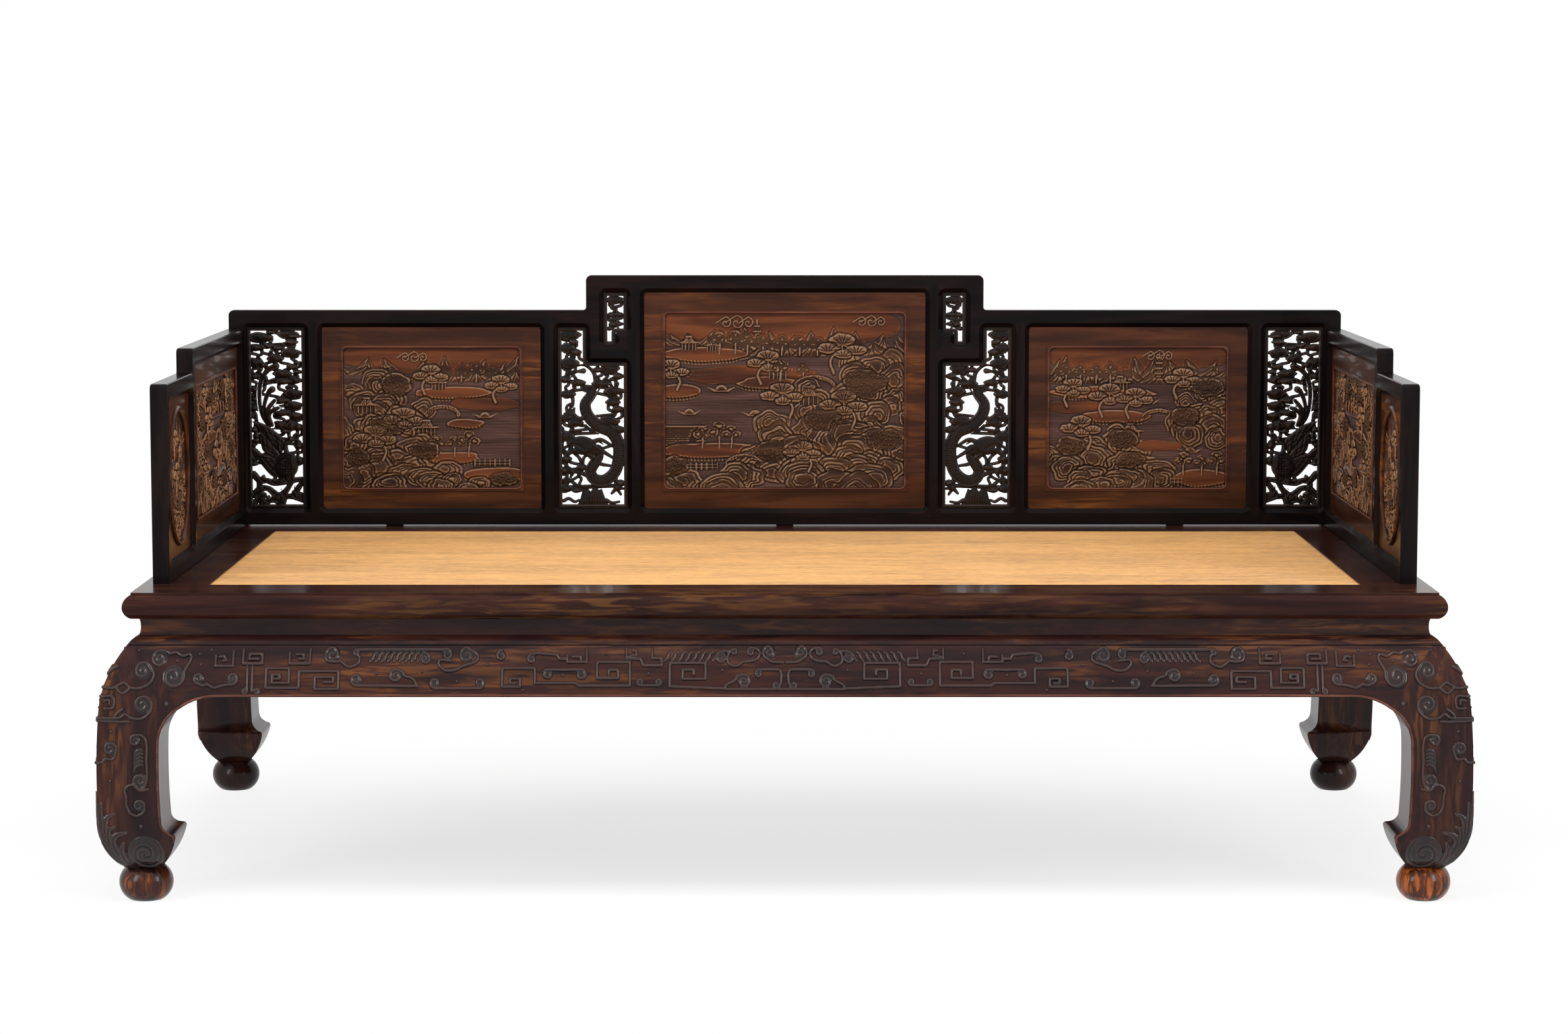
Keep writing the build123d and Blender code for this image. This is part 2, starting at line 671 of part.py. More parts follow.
# ---------------------------------------------------------------- rear railing
def rear_fields():
    """Every opening of the rear railing, by the board that fills it; the left ones mirror the right."""
    right = {
        "phoenix": [(phoenix_in, field_floor), (end_stile_in, field_floor), (end_stile_in, wing_field_top),
                    (phoenix_in, wing_field_top)],
        "wing": [(wing_in, field_floor), (wing_out, field_floor), (wing_out, wing_field_top), (wing_in, wing_field_top)],
        "dragon": [(centre_out, field_floor), (dragon_out, field_floor), (dragon_out, wing_field_top),
                   (post_out, wing_field_top), (post_out, arm_low), (centre_out, arm_low)],
        "cloud": [(tip_out, arm_top), (post_in, arm_top), (post_in, centre_field_top), (centre_out, centre_field_top),
                  (centre_out, tip_top), (tip_out, tip_top)]}
    fields = {"centre": Field((-half_centre, field_floor), (half_centre, field_floor),
                              (half_centre, centre_field_top), (-half_centre, centre_field_top))}
    for name, points in right.items():
        fields[f"right_{name}"] = Field(*points)
        fields[f"left_{name}"] = Field(*mirrored(points))
    return fields


def rear_plate(fields):
    """The rear railing's framework before it is parted: two wings and a raised centre."""
    right_edge = [(rear_half, railing_foot), (rear_half, wing_top), (post_out, wing_top), (post_out, centre_top)]
    rounded = []
    for side in (-1, 1):
        rounded += [((side * rear_half, wing_top), outer_corner), ((side * post_out, centre_top), outer_corner),
                    ((side * post_out, wing_top), step_corner)]
    return railing_plate(right_edge + mirrored(right_edge)[::-1], rounded, fields.values(),
                         (-end_stile_in, end_stile_in))


def wing_rail_points():
    """The top rail of the right wing, mitred at its end and pointed where it meets the raised centre's post."""
    return [(rear_half + margin, wing_top + margin), (end_stile_in, wing_field_top), (post_out, wing_field_top),
            (post_out - shoulder_point, wing_line), (post_out, wing_top), (post_out, wing_top + margin)]


def post_points():
    """The raised centre's right post, mitred to the top rail above and to the hooked arm below."""
    return [(post_out + overrun, centre_top + overrun), (post_in, centre_field_top), (post_in, arm_top),
            (post_out + overrun, arm_low - overrun)]


def arm_points():
    """The hooked arm from that post in to the centre stile, with its upturned tip."""
    return [(post_out + overrun, arm_low - overrun), (post_in, arm_top), (tip_out, arm_top), (tip_out, tip_top),
            (centre_out, tip_top), (centre_out, arm_top), (centre_out - shoulder_point, arm_top - shoulder_point),
            (centre_out, arm_low)]


def part_rear_plate(plate):
    """Part the plate into its members; right-hand ones only, apart from the two rails that cross the middle."""
    stiles = {"phoenix_stile": stile_points(wing_out, field_floor, wing_field_top),
              "wing_stile": stile_points(dragon_out, field_floor, wing_field_top),
              "centre_stile": stile_points(half_centre, field_floor, centre_field_top)}
    bottom = [(rear_half + margin, railing_foot - margin), (end_stile_in, field_floor)]
    centre = [(post_out + overrun, centre_top + overrun), (post_in, centre_field_top)]
    members = {"bottom_rail": plate & prism(bottom + mirrored(bottom)[::-1]),
               "centre_top_rail": plate & prism(centre + mirrored(centre)[::-1]),
               "outer_stile": plate & prism(outer_stile_points(rear_half, 1, wing_top)),
               "wing_top_rail": plate & prism(wing_rail_points()),
               "post": plate & prism(post_points()) - prism(wing_rail_points()),
               "arm": plate & prism(arm_points())}
    for name, points in stiles.items():
        members[name] = plate & prism(points)
        for rail in ("bottom_rail", "centre_top_rail", "wing_top_rail"):
            members[rail] = members[rail] - prism(points) - prism(mirrored(points))
    members["centre_stile"] = members["centre_stile"] - prism(arm_points())
    return members


def join_rear_members(members):
    """Give each joint of the rear railing its tenon: on one member, and out of the other."""
    arm_line, centre_line = arm_top - shoulder_point, centre_top - shoulder_point
    joints = [("wing_top_rail", "outer_stile", frame_tenon(end_stile_in, wing_line, (1, 0))),
              ("wing_top_rail", "post", frame_tenon(post_out, wing_line, (-1, 0))),
              ("arm", "post", frame_tenon(post_in, arm_line, (1, 0))),
              ("arm", "centre_stile", frame_tenon(centre_out, arm_line, (-1, 0))),
              ("bottom_rail", "outer_stile", frame_tenon(end_stile_in, bottom_line, (1, 0))),
              ("centre_top_rail", "post", frame_tenon(post_in, centre_line, (1, 0)))]
    for stile, u, top_rail, top in (("phoenix_stile", wing_out, "wing_top_rail", wing_field_top),
                                    ("wing_stile", dragon_out, "wing_top_rail", wing_field_top),
                                    ("centre_stile", half_centre, "centre_top_rail", centre_field_top)):
        joints.append((stile, "bottom_rail", frame_tenon(u + shoulder_point, field_floor, (0, -1))))
        joints.append((stile, top_rail, frame_tenon(u + shoulder_point, top, (0, 1))))
    for male, female, tenon in joints:
        pair = [tenon, mirror(tenon, Plane.YZ)]
        whole = ("bottom_rail", "centre_top_rail")
        members[male] = members[male] + (pair if male in whole else tenon)
        members[female] = members[female] - (pair if female in whole else tenon)
    members["bottom_rail"] = members["bottom_rail"] + [seat_tenon(u) for u in rear_tenon_places()]
    members["outer_stile"] = members["outer_stile"] - key_slots()


def rear_boards(fields):
    """The boards of the rear railing: three carved landscapes and six pierced ones."""
    boards = {"centre_panel": landscape_board(fields["centre"])}
    phoenix = openwork_board(fields["right_phoenix"], cloud_length, cloud_pitch, cloud_rise,
                             phoenix_figure(phoenix_in + phoenix_width / 2, (field_floor + wing_field_top) / 2))
    dragon = openwork_board(fields["right_dragon"], cloud_length, cloud_pitch, cloud_rise,
                            dragon_figure(centre_out, field_floor))
    wing = landscape_board(fields["right_wing"])
    for name, board in (("phoenix_openwork", phoenix), ("dragon_openwork", dragon), ("wing_panel", wing)):
        boards[f"right_{name}"] = board
        boards[f"left_{name}"] = mirror(board, Plane.YZ)
    small = openwork_board(fields["right_cloud"], small_cloud_length, small_cloud_pitch, small_cloud_rise)
    boards["cloud_openworks"] = Compound([small.solid(), mirror(small, Plane.YZ).solid()])
    return boards


def make_rear_railing():
    """The rear railing, drawn face on and then stood on the seat."""
    fields = rear_fields()
    members = part_rear_plate(rear_plate(fields))
    join_rear_members(members)
    finished = rear_boards(fields)
    for name in ("bottom_rail", "centre_top_rail"):
        finished[name] = members[name]
    for name in ("outer_stile", "phoenix_stile", "wing_stile", "centre_stile"):
        finished[f"{name}s"] = Compound([members[name].solid(), mirror(members[name], Plane.YZ).solid()])
    hook = [members["post"].solid(), members["arm"].solid()]
    finished["right_hook"] = Compound(hook)
    finished["left_hook"] = Compound([mirror(piece, Plane.YZ) for piece in hook])
    finished["right_wing_top_rail"] = members["wing_top_rail"]
    finished["left_wing_top_rail"] = mirror(members["wing_top_rail"], Plane.YZ)
    place = Plane(origin=(0, rear_face, 0), x_dir=(1, 0, 0), z_dir=(0, -1, 0)).location
    for name, shape in finished.items():
        parts[f"rear_{name}"] = place * shape


# ---------------------------------------------------------------- side railings
def side_fields():
    """The two openings of a side railing."""
    landscape = Field((side_step + member_width, field_floor), (side_rear - member_width, field_floor),
                      (side_rear - member_width, high_field_top), (side_step + member_width, high_field_top))
    medallion = Field((side_front + member_width, field_floor), (side_step, field_floor), (side_step, low_field_top),
                      (side_front + member_width, low_field_top))
    return landscape, medallion


def side_plate(fields):
    """A side railing's framework before it is parted: high at the rear, one step lower in front."""
    outline = [(side_front, railing_foot), (side_rear, railing_foot), (side_rear, side_high), (side_step, side_high),
               (side_step, side_low), (side_front, side_low)]
    rounded = [((side_step, side_high), outer_corner), ((side_step, side_low), step_corner),
               ((side_front, side_low), outer_corner)]
    return railing_plate(outline, rounded, fields, (side_front + member_width, side_rear - member_width))


def part_side_plate(plate):
    """Part the plate into its six members."""
    low_rail = [(side_front - margin, side_low + margin), (side_front + member_width, low_field_top),
                (side_step, low_field_top), (side_step + shoulder_point, side_low - shoulder_point),
                (side_step, side_low), (side_step, side_low + margin)]
    middle = [(side_step, field_floor), (side_step + shoulder_point, field_floor - shoulder_point),
              (side_step + member_width, field_floor), (side_step + member_width, high_field_top),
              (side_step - overrun, side_high + overrun), (side_step - overrun, side_low + overrun),
              (side_step, side_low)]
    high_rail = [(side_step - overrun, side_high + overrun), (side_step + member_width, high_field_top),
                 (side_rear - member_width, high_field_top), (side_rear + margin, side_high + margin)]
    bottom = [(side_front - margin, railing_foot - margin), (side_front + member_width, field_floor),
              (side_rear - member_width, field_floor), (side_rear + margin, railing_foot - margin)]
    return {"front_stile": plate & prism(outer_stile_points(side_front, -1, side_low)),
            "rear_stile": plate & prism(outer_stile_points(side_rear, 1, side_high)),
            "middle_stile": plate & prism(middle) - prism(low_rail),
            "low_top_rail": plate & prism(low_rail),
            "high_top_rail": plate & prism(high_rail),
            "bottom_rail": plate & prism(bottom) - prism(middle)}


def join_side_members(members):
    """Tenons between the members, seat tenons under the bottom rail and the keys' mortises."""
    front_line, high_line = side_low - shoulder_point, side_high - shoulder_point
    front_in, rear_in = side_front + member_width, side_rear - member_width
    joints = [("bottom_rail", "front_stile", frame_tenon(front_in, bottom_line, (-1, 0))),
              ("bottom_rail", "rear_stile", frame_tenon(rear_in, bottom_line, (1, 0))),
              ("low_top_rail", "front_stile", frame_tenon(front_in, front_line, (-1, 0))),
              ("low_top_rail", "middle_stile", frame_tenon(side_step, front_line, (1, 0))),
              ("high_top_rail", "middle_stile", frame_tenon(side_step + member_width, high_line, (-1, 0))),
              ("high_top_rail", "rear_stile", frame_tenon(rear_in, high_line, (1, 0))),
              ("middle_stile", "bottom_rail", frame_tenon(side_step + shoulder_point, field_floor, (0, -1)))]
    for male, female, tenon in joints:
        members[male] = members[male] + tenon
        members[female] = members[female] - tenon
    members["bottom_rail"] = members["bottom_rail"] + [seat_tenon(u) for u in side_tenon_places()]
    keys = [stile_key(seat_height + level) for level in key_levels]
    members["rear_stile"] = members["rear_stile"] - keys
    members["keys"] = Compound([key.solid() for key in keys])


def make_side_railings():
    """The left side railing, and the right one as its mirror image."""
    landscape, medallion = side_fields()
    members = part_side_plate(side_plate((landscape, medallion)))
    join_side_members(members)
    members["landscape_panel"] = landscape_board(landscape)
    members["medallion_panel"] = medallion_board(medallion)
    place = Plane(origin=(-side_face, 0, 0), x_dir=(0, 1, 0), z_dir=(1, 0, 0)).location
    for name, shape in members.items():
        parts[f"left_railing_{name}"] = place * shape
        parts[f"right_railing_{name}"] = mirror(place * shape, Plane.YZ)


def write_parts():
    """One STEP file for each node."""
    os.makedirs("parts", exist_ok=True)
    for name, shape in parts.items():
        export_step(shape, f"parts/{name}.step")


make_seat()
make_mat()
make_base()
make_rear_railing()
make_side_railings()
write_parts()
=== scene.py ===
"""Carved hardwood luohan daybed with lift-off railings and a woven cane seat."""

import copy
import logging
import math
from collections.abc import Callable
from dataclasses import dataclass, field, replace
from enum import Enum
from typing import Any

import bmesh
import bpy
import numpy as np
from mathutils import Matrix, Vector
from mathutils.bvhtree import BVHTree


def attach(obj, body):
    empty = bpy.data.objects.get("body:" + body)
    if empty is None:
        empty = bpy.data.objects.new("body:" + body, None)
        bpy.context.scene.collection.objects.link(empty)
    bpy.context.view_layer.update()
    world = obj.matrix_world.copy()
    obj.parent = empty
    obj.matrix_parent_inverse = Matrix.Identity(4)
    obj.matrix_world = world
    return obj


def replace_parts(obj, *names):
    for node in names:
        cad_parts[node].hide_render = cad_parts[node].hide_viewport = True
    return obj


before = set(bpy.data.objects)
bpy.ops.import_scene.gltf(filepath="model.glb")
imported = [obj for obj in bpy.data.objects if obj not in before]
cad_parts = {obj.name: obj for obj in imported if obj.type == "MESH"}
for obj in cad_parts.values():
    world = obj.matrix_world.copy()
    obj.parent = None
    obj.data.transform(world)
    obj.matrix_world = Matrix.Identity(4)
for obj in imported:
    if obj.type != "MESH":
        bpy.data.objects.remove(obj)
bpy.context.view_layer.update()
MM = 0.001
LOG = logging.getLogger("daybed")

Colour = tuple[float, float, float]
Socket = bpy.types.NodeSocket
Piece = bpy.types.Object
Tree = bpy.types.NodeTree
Material = bpy.types.Material
Points = Any
BLACK, WHITE = (0.0, 0.0, 0.0), (1.0, 1.0, 1.0)

# ---- shader tools


class Graph:
    """A node tree that is being filled in."""

    def __init__(self, tree: Tree) -> None:
        """Keeps the tree."""
        self.tree = tree

    def add(self, kind: str, inputs: dict[Any, Any] | None = None, **settings: Any) -> bpy.types.Node:
        """Adds one node.

        Args:
            kind: The node's type name, or the name of a node group.
            inputs: What each input holds or is linked from.
            **settings: Properties set before the inputs.

        Returns:
            The new node.
        """
        group = bpy.data.node_groups.get(kind)
        node = self.tree.nodes.new("ShaderNodeGroup" if group else kind)
        if group:
            node.node_tree = group
        for name, value in settings.items():
            setattr(node, name, value)
        for name, value in (inputs or {}).items():
            socket = node.inputs[name]
            if isinstance(value, Socket):
                self.tree.links.new(value, socket)
            else:
                socket.default_value = (*value, 1.0) if socket.type == "RGBA" else value
        return node

    def feed(self, inputs: Any, links: dict[Any, Socket]) -> None:
        """Links values into named inputs."""
        for name, value in links.items():
            self.tree.links.new(value, inputs[name])

    def maths(self, operation: str, *values: Any, clamp: bool = False) -> Socket:
        """Adds a maths node and returns its result."""
        return self.add("ShaderNodeMath", dict(enumerate(values)), operation=operation, use_clamp=clamp).outputs[0]

    def times(self, *values: Any, clamp: bool = False) -> Socket:
        """Multiplies two values."""
        return self.maths("MULTIPLY", *values, clamp=clamp)

    def plus(self, *values: Any) -> Socket:
        """Adds two values."""
        return self.maths("ADD", *values)

    def mix(self, factor: Any, first: Any, second: Any) -> Socket:
        """Mixes two colours and returns the result."""
        return self.add("ShaderNodeMix", {0: factor, 6: first, 7: second}, data_type="RGBA").outputs[2]

    def spread(self, value: Any, low: float, high: float, first: Any = 0.0, last: Any = 1.0) -> Socket:
        """Maps a value from low..high to first..last, smoothly and clamped."""
        return self.add("ShaderNodeMapRange", {0: value, 1: low, 2: high, 3: first, 4: last},
                        interpolation_type="SMOOTHSTEP").outputs[0]

    def stretch(self, vector: Socket, scale: Any = (1.0, 1.0, 1.0), turn: Any = BLACK) -> Socket:
        """Scales and turns a pattern's place."""
        return self.add("ShaderNodeMapping", {"Vector": vector, "Scale": scale, "Rotation": turn}).outputs[0]

    def noise(self, vector: Socket, long: float, scale: Any, detail: float = 4.0, twist: float = 0.0) -> Socket:
        """Adds a noise that is drawn out along X.

        Args:
            vector: Where the noise is read.
            long: Its scale along X, of its scale across.
            scale: Its scale.
            detail: How many finer layers it has.
            twist: How far it is distorted.

        Returns:
            The noise, from 0 to 1.
        """
        place = vector if long == 1.0 else self.stretch(vector, (long, 1.0, 1.0))
        return self.add("ShaderNodeTexNoise", {"Vector": place, "Scale": scale, "Detail": detail,
                                               "Distortion": twist}).outputs[0]

    def bump(self, height: Socket, strength: float, distance: float) -> Socket:
        """Turns a height into a normal."""
        return self.add("ShaderNodeBump", {"Height": height, "Strength": strength, "Distance": distance}).outputs[0]

    def place(self) -> Socket:
        """Reads the place on the piece."""
        return self.add("ShaderNodeTexCoord").outputs["Object"]

    def read(self, attribute: str) -> Socket:
        """Reads a number that a mesh holds at its points."""
        return self.add("ShaderNodeAttribute", attribute_name=attribute).outputs["Fac"]


def new_group(kind: str, name: str, inputs: dict[str, Any], outputs: dict[str, str]) -> tuple[Graph, Any, Any]:
    """Starts a node group.

    Args:
        kind: Shader or Geometry.
        name: The group's name.
        inputs: Each input with its default value, or with its socket type where it has none.
        outputs: Each output with its socket type.

    Returns:
        The group's graph, its input node's outputs and its output node's inputs.
    """
    tree = bpy.data.node_groups.new(name, kind + "NodeTree")
    kinds = {tuple: "Color", float: "Float", int: "Int"}
    for title, value in inputs.items():
        socket = tree.interface.new_socket(title, in_out="INPUT",
                                           socket_type="NodeSocket" + kinds.get(type(value), str(value)))
        if type(value) in kinds:
            socket.default_value = (*value, 1.0) if isinstance(value, tuple) else value
    for title, value in outputs.items():
        tree.interface.new_socket(title, in_out="OUTPUT", socket_type="NodeSocket" + value)
    return Graph(tree), tree.nodes.new("NodeGroupInput").outputs, tree.nodes.new("NodeGroupOutput").inputs


def new_material(name: str, **constants: float) -> tuple[Material, Graph, Any]:
    """Starts a material.

    Args:
        name: Its name.
        **constants: What some of its shader's inputs hold all over, with underscores for spaces.

    Returns:
        The material, its graph and its shader's inputs.
    """
    material = bpy.data.materials.new(name)
    material.use_nodes = True
    shader = material.node_tree.nodes["Principled BSDF"].inputs
    for title, value in constants.items():
        shader[title.replace("_", " ")].default_value = value
    return material, Graph(material.node_tree), shader


def build_hardwood_grain() -> None:
    """Builds the group for figured hardwood, whose fibres run along X."""
    graph, given, result = new_group(
        "Shader", "hardwood grain",
        {"Vector": "Vector", "Dark": (0.02, 0.01, 0.01), "Light": (0.1, 0.04, 0.02), "Figure": (0.3, 0.1, 0.03),
         "Figure Amount": 0.5, "Figure Size": 6.0, "Pores": 0.5, "Roughness": 0.3, "Sheen Spread": 0.1},
        {"Color": "Color", "Roughness": "Float", "Height": "Float"})
    place = given["Vector"]
    streaks = graph.noise(place, 0.10, 38.0, 6.0, 0.6)
    clouds = graph.noise(place, 0.32, given["Figure Size"], 5.0, 1.2)
    fibres = graph.noise(place, 0.045, 420.0, 3.0)
    flames = graph.noise(place, 0.11, 95.0, 5.0, 0.9)
    base = graph.mix(graph.spread(streaks, 0.36, 0.68), given["Dark"], given["Light"])
    licked = graph.times(graph.spread(clouds, 0.44, 0.72), graph.spread(flames, 0.44, 0.62, 0.10, 1.35))
    figured = graph.times(licked, given["Figure Amount"], clamp=True)
    coloured = graph.mix(graph.times(figured, graph.spread(streaks, 0.3, 0.7, 0.55, 1.0)), base, given["Figure"])
    pores = graph.times(graph.spread(fibres, 0.60, 0.70), given["Pores"], clamp=True)
    sheen = graph.times(graph.maths("SUBTRACT", clouds, 0.5), given["Sheen Spread"])
    graph.feed(result, {"Color": graph.mix(pores, coloured, graph.mix(0.7, coloured, BLACK)),
                        "Roughness": graph.plus(given["Roughness"], sheen),
                        "Height": graph.maths("SUBTRACT", graph.times(streaks, 0.5), pores)})


def build_edge_wear() -> None:
    """Builds the group that paints highlight and rubbed wear on crests and painted shade in the hollows."""
    graph, given, result = new_group(
        "Shader", "edge wear", {"Color": (0.1, 0.05, 0.03), "Crest": 0.5, "Rubbed": (0.5, 0.3, 0.25),
                                "Amount": 0.5, "Hollow": 0.6, "Roughness": 0.3},
        {"Color": "Color", "Roughness": "Float"})
    # Crests take the rubbed colour, partly rubbed wear and partly a painted highlight; hollows go darker as painted
    # shade.
    raised = graph.times(graph.spread(given["Crest"], 0.56, 0.86), given["Amount"], clamp=True)
    sunk = graph.times(graph.spread(given["Crest"], 0.46, 0.14), given["Hollow"], clamp=True)
    shaded_hollows = graph.mix(sunk, given["Color"], graph.mix(0.9, given["Color"], BLACK))
    graph.feed(result, {"Color": graph.mix(raised, shaded_hollows, given["Rubbed"]),
                        "Roughness": graph.plus(given["Roughness"], graph.times(sunk, 0.3))})


def build_weave() -> None:
    """Builds the group for split cane woven in a fine twill, flat in X and Y."""
    graph, given, result = new_group(
        "Shader", "cane weave", {"Vector": "Vector", "Strand": 0.0024, "Dark": (0.3, 0.15, 0.05),
                                 "Light": (0.8, 0.5, 0.2), "Streaks": 0.5},
        {"Color": "Color", "Height": "Float"})
    place = given["Vector"]
    across, along, _ = graph.add("ShaderNodeSeparateXYZ", {0: place}).outputs
    rows = graph.maths("DIVIDE", along, given["Strand"])
    step = graph.maths("FLOOR", rows)
    shifted = graph.plus(graph.maths("DIVIDE", across, given["Strand"]), step)
    over = graph.maths("PINGPONG", shifted, 2.0)
    strand = graph.maths("SINE", graph.times(graph.maths("FRACT", rows), math.pi))
    cells = graph.add("ShaderNodeCombineXYZ", {0: graph.maths("FLOOR", graph.maths("DIVIDE", shifted, 4.0)),
                                               1: step}).outputs[0]
    cell = graph.add("ShaderNodeTexWhiteNoise", {"Vector": cells}, noise_dimensions="2D").outputs[0]
    streaks = graph.noise(place, 0.05, 190.0, 5.0, 0.4)
    broad = graph.noise(place, 0.18, 9.0, 4.0)
    height = graph.times(graph.spread(over, 0.2, 1.4), strand)
    streaked = graph.times(graph.times(graph.spread(streaks, 0.36, 0.62), given["Streaks"]), 0.55)
    patches = graph.times(graph.spread(broad, 0.35, 0.65), 0.28)
    # The strands' own tone, by cell, streak and patch.
    shade = graph.plus(graph.times(cell, 0.42), graph.plus(streaked, patches))
    # Darker where a strand dips low: painted shade between the strands.
    tone = graph.times(graph.plus(shade, 0.15), graph.plus(graph.times(height, 0.5), 0.55), clamp=True)
    specks = graph.spread(graph.noise(place, 1.0, 160.0, 1.0), 0.735, 0.775)
    coloured = graph.mix(tone, given["Dark"], given["Light"])
    graph.feed(result, {"Color": graph.mix(graph.times(specks, 0.7), coloured, (0.08, 0.04, 0.02)),
                        "Height": height})


class Grain(Enum):
    """The direction in which a piece's fibres run, as the turn that lays them along X."""

    ALONG_X = (0.0, 0.0, 0.0)
    ALONG_Y = (0.0, 0.0, math.radians(90))
    ALONG_Z = (0.0, math.radians(90), 0.0)


@dataclass(frozen=True)
class WoodFinish:
    """A waxed and rubbed hardwood."""

    name: str
    dark: Colour
    light: Colour
    figure: Colour
    figure_amount: float = 0.4
    figure_size: float = 6.0
    pores: float = 0.5
    roughness: float = 0.3
    gloss: float = 0.1
    coat: float = 0.1
    bump: float = 0.12
    # The crest colour and its share below: partly rubbed wear, partly painted highlight; hollow: the share of painted
    # shade in hollows.
    rubbed: Colour = BLACK
    rubbing: float = 0.0
    hollow: float = 0.0

    def material(self, grain: Grain) -> Material:
        """Makes or finds the finish with its fibres along one direction.

        Args:
            grain: The direction of the fibres.

        Returns:
            The material.
        """
        name = f"{self.name} {grain.name.lower().replace('_', ' ')}"
        if name in bpy.data.materials:
            return bpy.data.materials[name]
        material, graph, shader = new_material(name, Specular_IOR_Level=self.gloss, Coat_Weight=self.coat,
                                               Coat_Roughness=0.05)
        wood = graph.add("hardwood grain", {
            "Vector": graph.stretch(graph.place(), turn=grain.value), "Dark": self.dark, "Light": self.light,
            "Figure": self.figure, "Figure Amount": self.figure_amount, "Figure Size": self.figure_size,
            "Pores": self.pores, "Roughness": self.roughness, "Sheen Spread": 0.12}).outputs
        seen = wood
        # Crests lighten as rubbed wear and painted highlight, hollows darken as painted shade.
        if self.rubbing:
            seen = graph.add("edge wear", {"Color": wood["Color"], "Crest": graph.read("crest"), "Rubbed": self.rubbed,
                                           "Amount": self.rubbing, "Hollow": self.hollow,
                                           "Roughness": wood["Roughness"]}).outputs
        graph.feed(shader, {"Base Color": seen["Color"], "Roughness": seen["Roughness"],
                            "Normal": graph.bump(wood["Height"], self.bump, 0.0006)})
        return material


RAILING_WOOD = WoodFinish("black rubbed hardwood", (0.0030, 0.0024, 0.0028), (0.008, 0.0045, 0.0045),
                          (0.024, 0.009, 0.007), 0.3, pores=0.3, roughness=0.20, gloss=0.04, coat=0.07, bump=0.06)
PANEL_WOOD = WoodFinish("figured panel hardwood", (0.024, 0.007, 0.003), (0.062, 0.019, 0.007),
                        (0.20, 0.064, 0.013), 0.6, 7.0, coat=0.14)
BASE_WOOD = WoodFinish("dark red hardwood", (0.010, 0.004, 0.005), (0.030, 0.009, 0.007), (0.15, 0.052, 0.014),
                       0.55, 8.0, coat=0.16)
SEAT_WOOD = WoodFinish("rubbed seat hardwood", (0.012, 0.004, 0.004), (0.034, 0.010, 0.007), (0.120, 0.050, 0.014),
                       0.65, 3.0, roughness=0.22, gloss=0.06, bump=0.08)
FOOT_WOOD = WoodFinish("red ball foot hardwood", (0.010, 0.004, 0.004), (0.060, 0.014, 0.007), (0.50, 0.13, 0.020),
                       0.85, 16.0, roughness=0.26, gloss=0.15, coat=0.20)
BRACE_WOOD = WoodFinish("planed brace hardwood", (0.10, 0.045, 0.022), (0.17, 0.085, 0.045), (0.22, 0.12, 0.06),
                        0.3, roughness=0.6, coat=0.0)
# Pierced boards: crests lighter as rubbed wear and painted highlight, hollows darker as painted shade.
OPENWORK_WOOD = WoodFinish("pierced hardwood", (0.0030, 0.0022, 0.0022), (0.009, 0.005, 0.004),
                           (0.022, 0.010, 0.006), 0.4, 20.0, roughness=0.24, coat=0.16,
                           rubbed=(0.055, 0.034, 0.028), rubbing=0.55, hollow=0.8)
# The beads' wood: a reddish rubbed tone, made lighter to paint the highlight line along each bead.
EDGE_HIGHLIGHT_WOOD = WoodFinish("rubbed edge hardwood", (0.050, 0.016, 0.011), (0.115, 0.040, 0.026), (0.19, 0.080, 0.052),
                       0.5, 18.0, roughness=0.32, coat=0.15)
# Base carving: crests lighter as rubbed wear and painted highlight, hollows darker as painted shade.
CARVED_BASE_WOOD = WoodFinish("rubbed carving hardwood", (0.008, 0.005, 0.006), (0.020, 0.009, 0.009),
                              (0.065, 0.022, 0.010), 0.4, 20.0, roughness=0.26, gloss=0.14, coat=0.42,
                              rubbed=(0.10, 0.055, 0.045), rubbing=0.25, hollow=0.6)


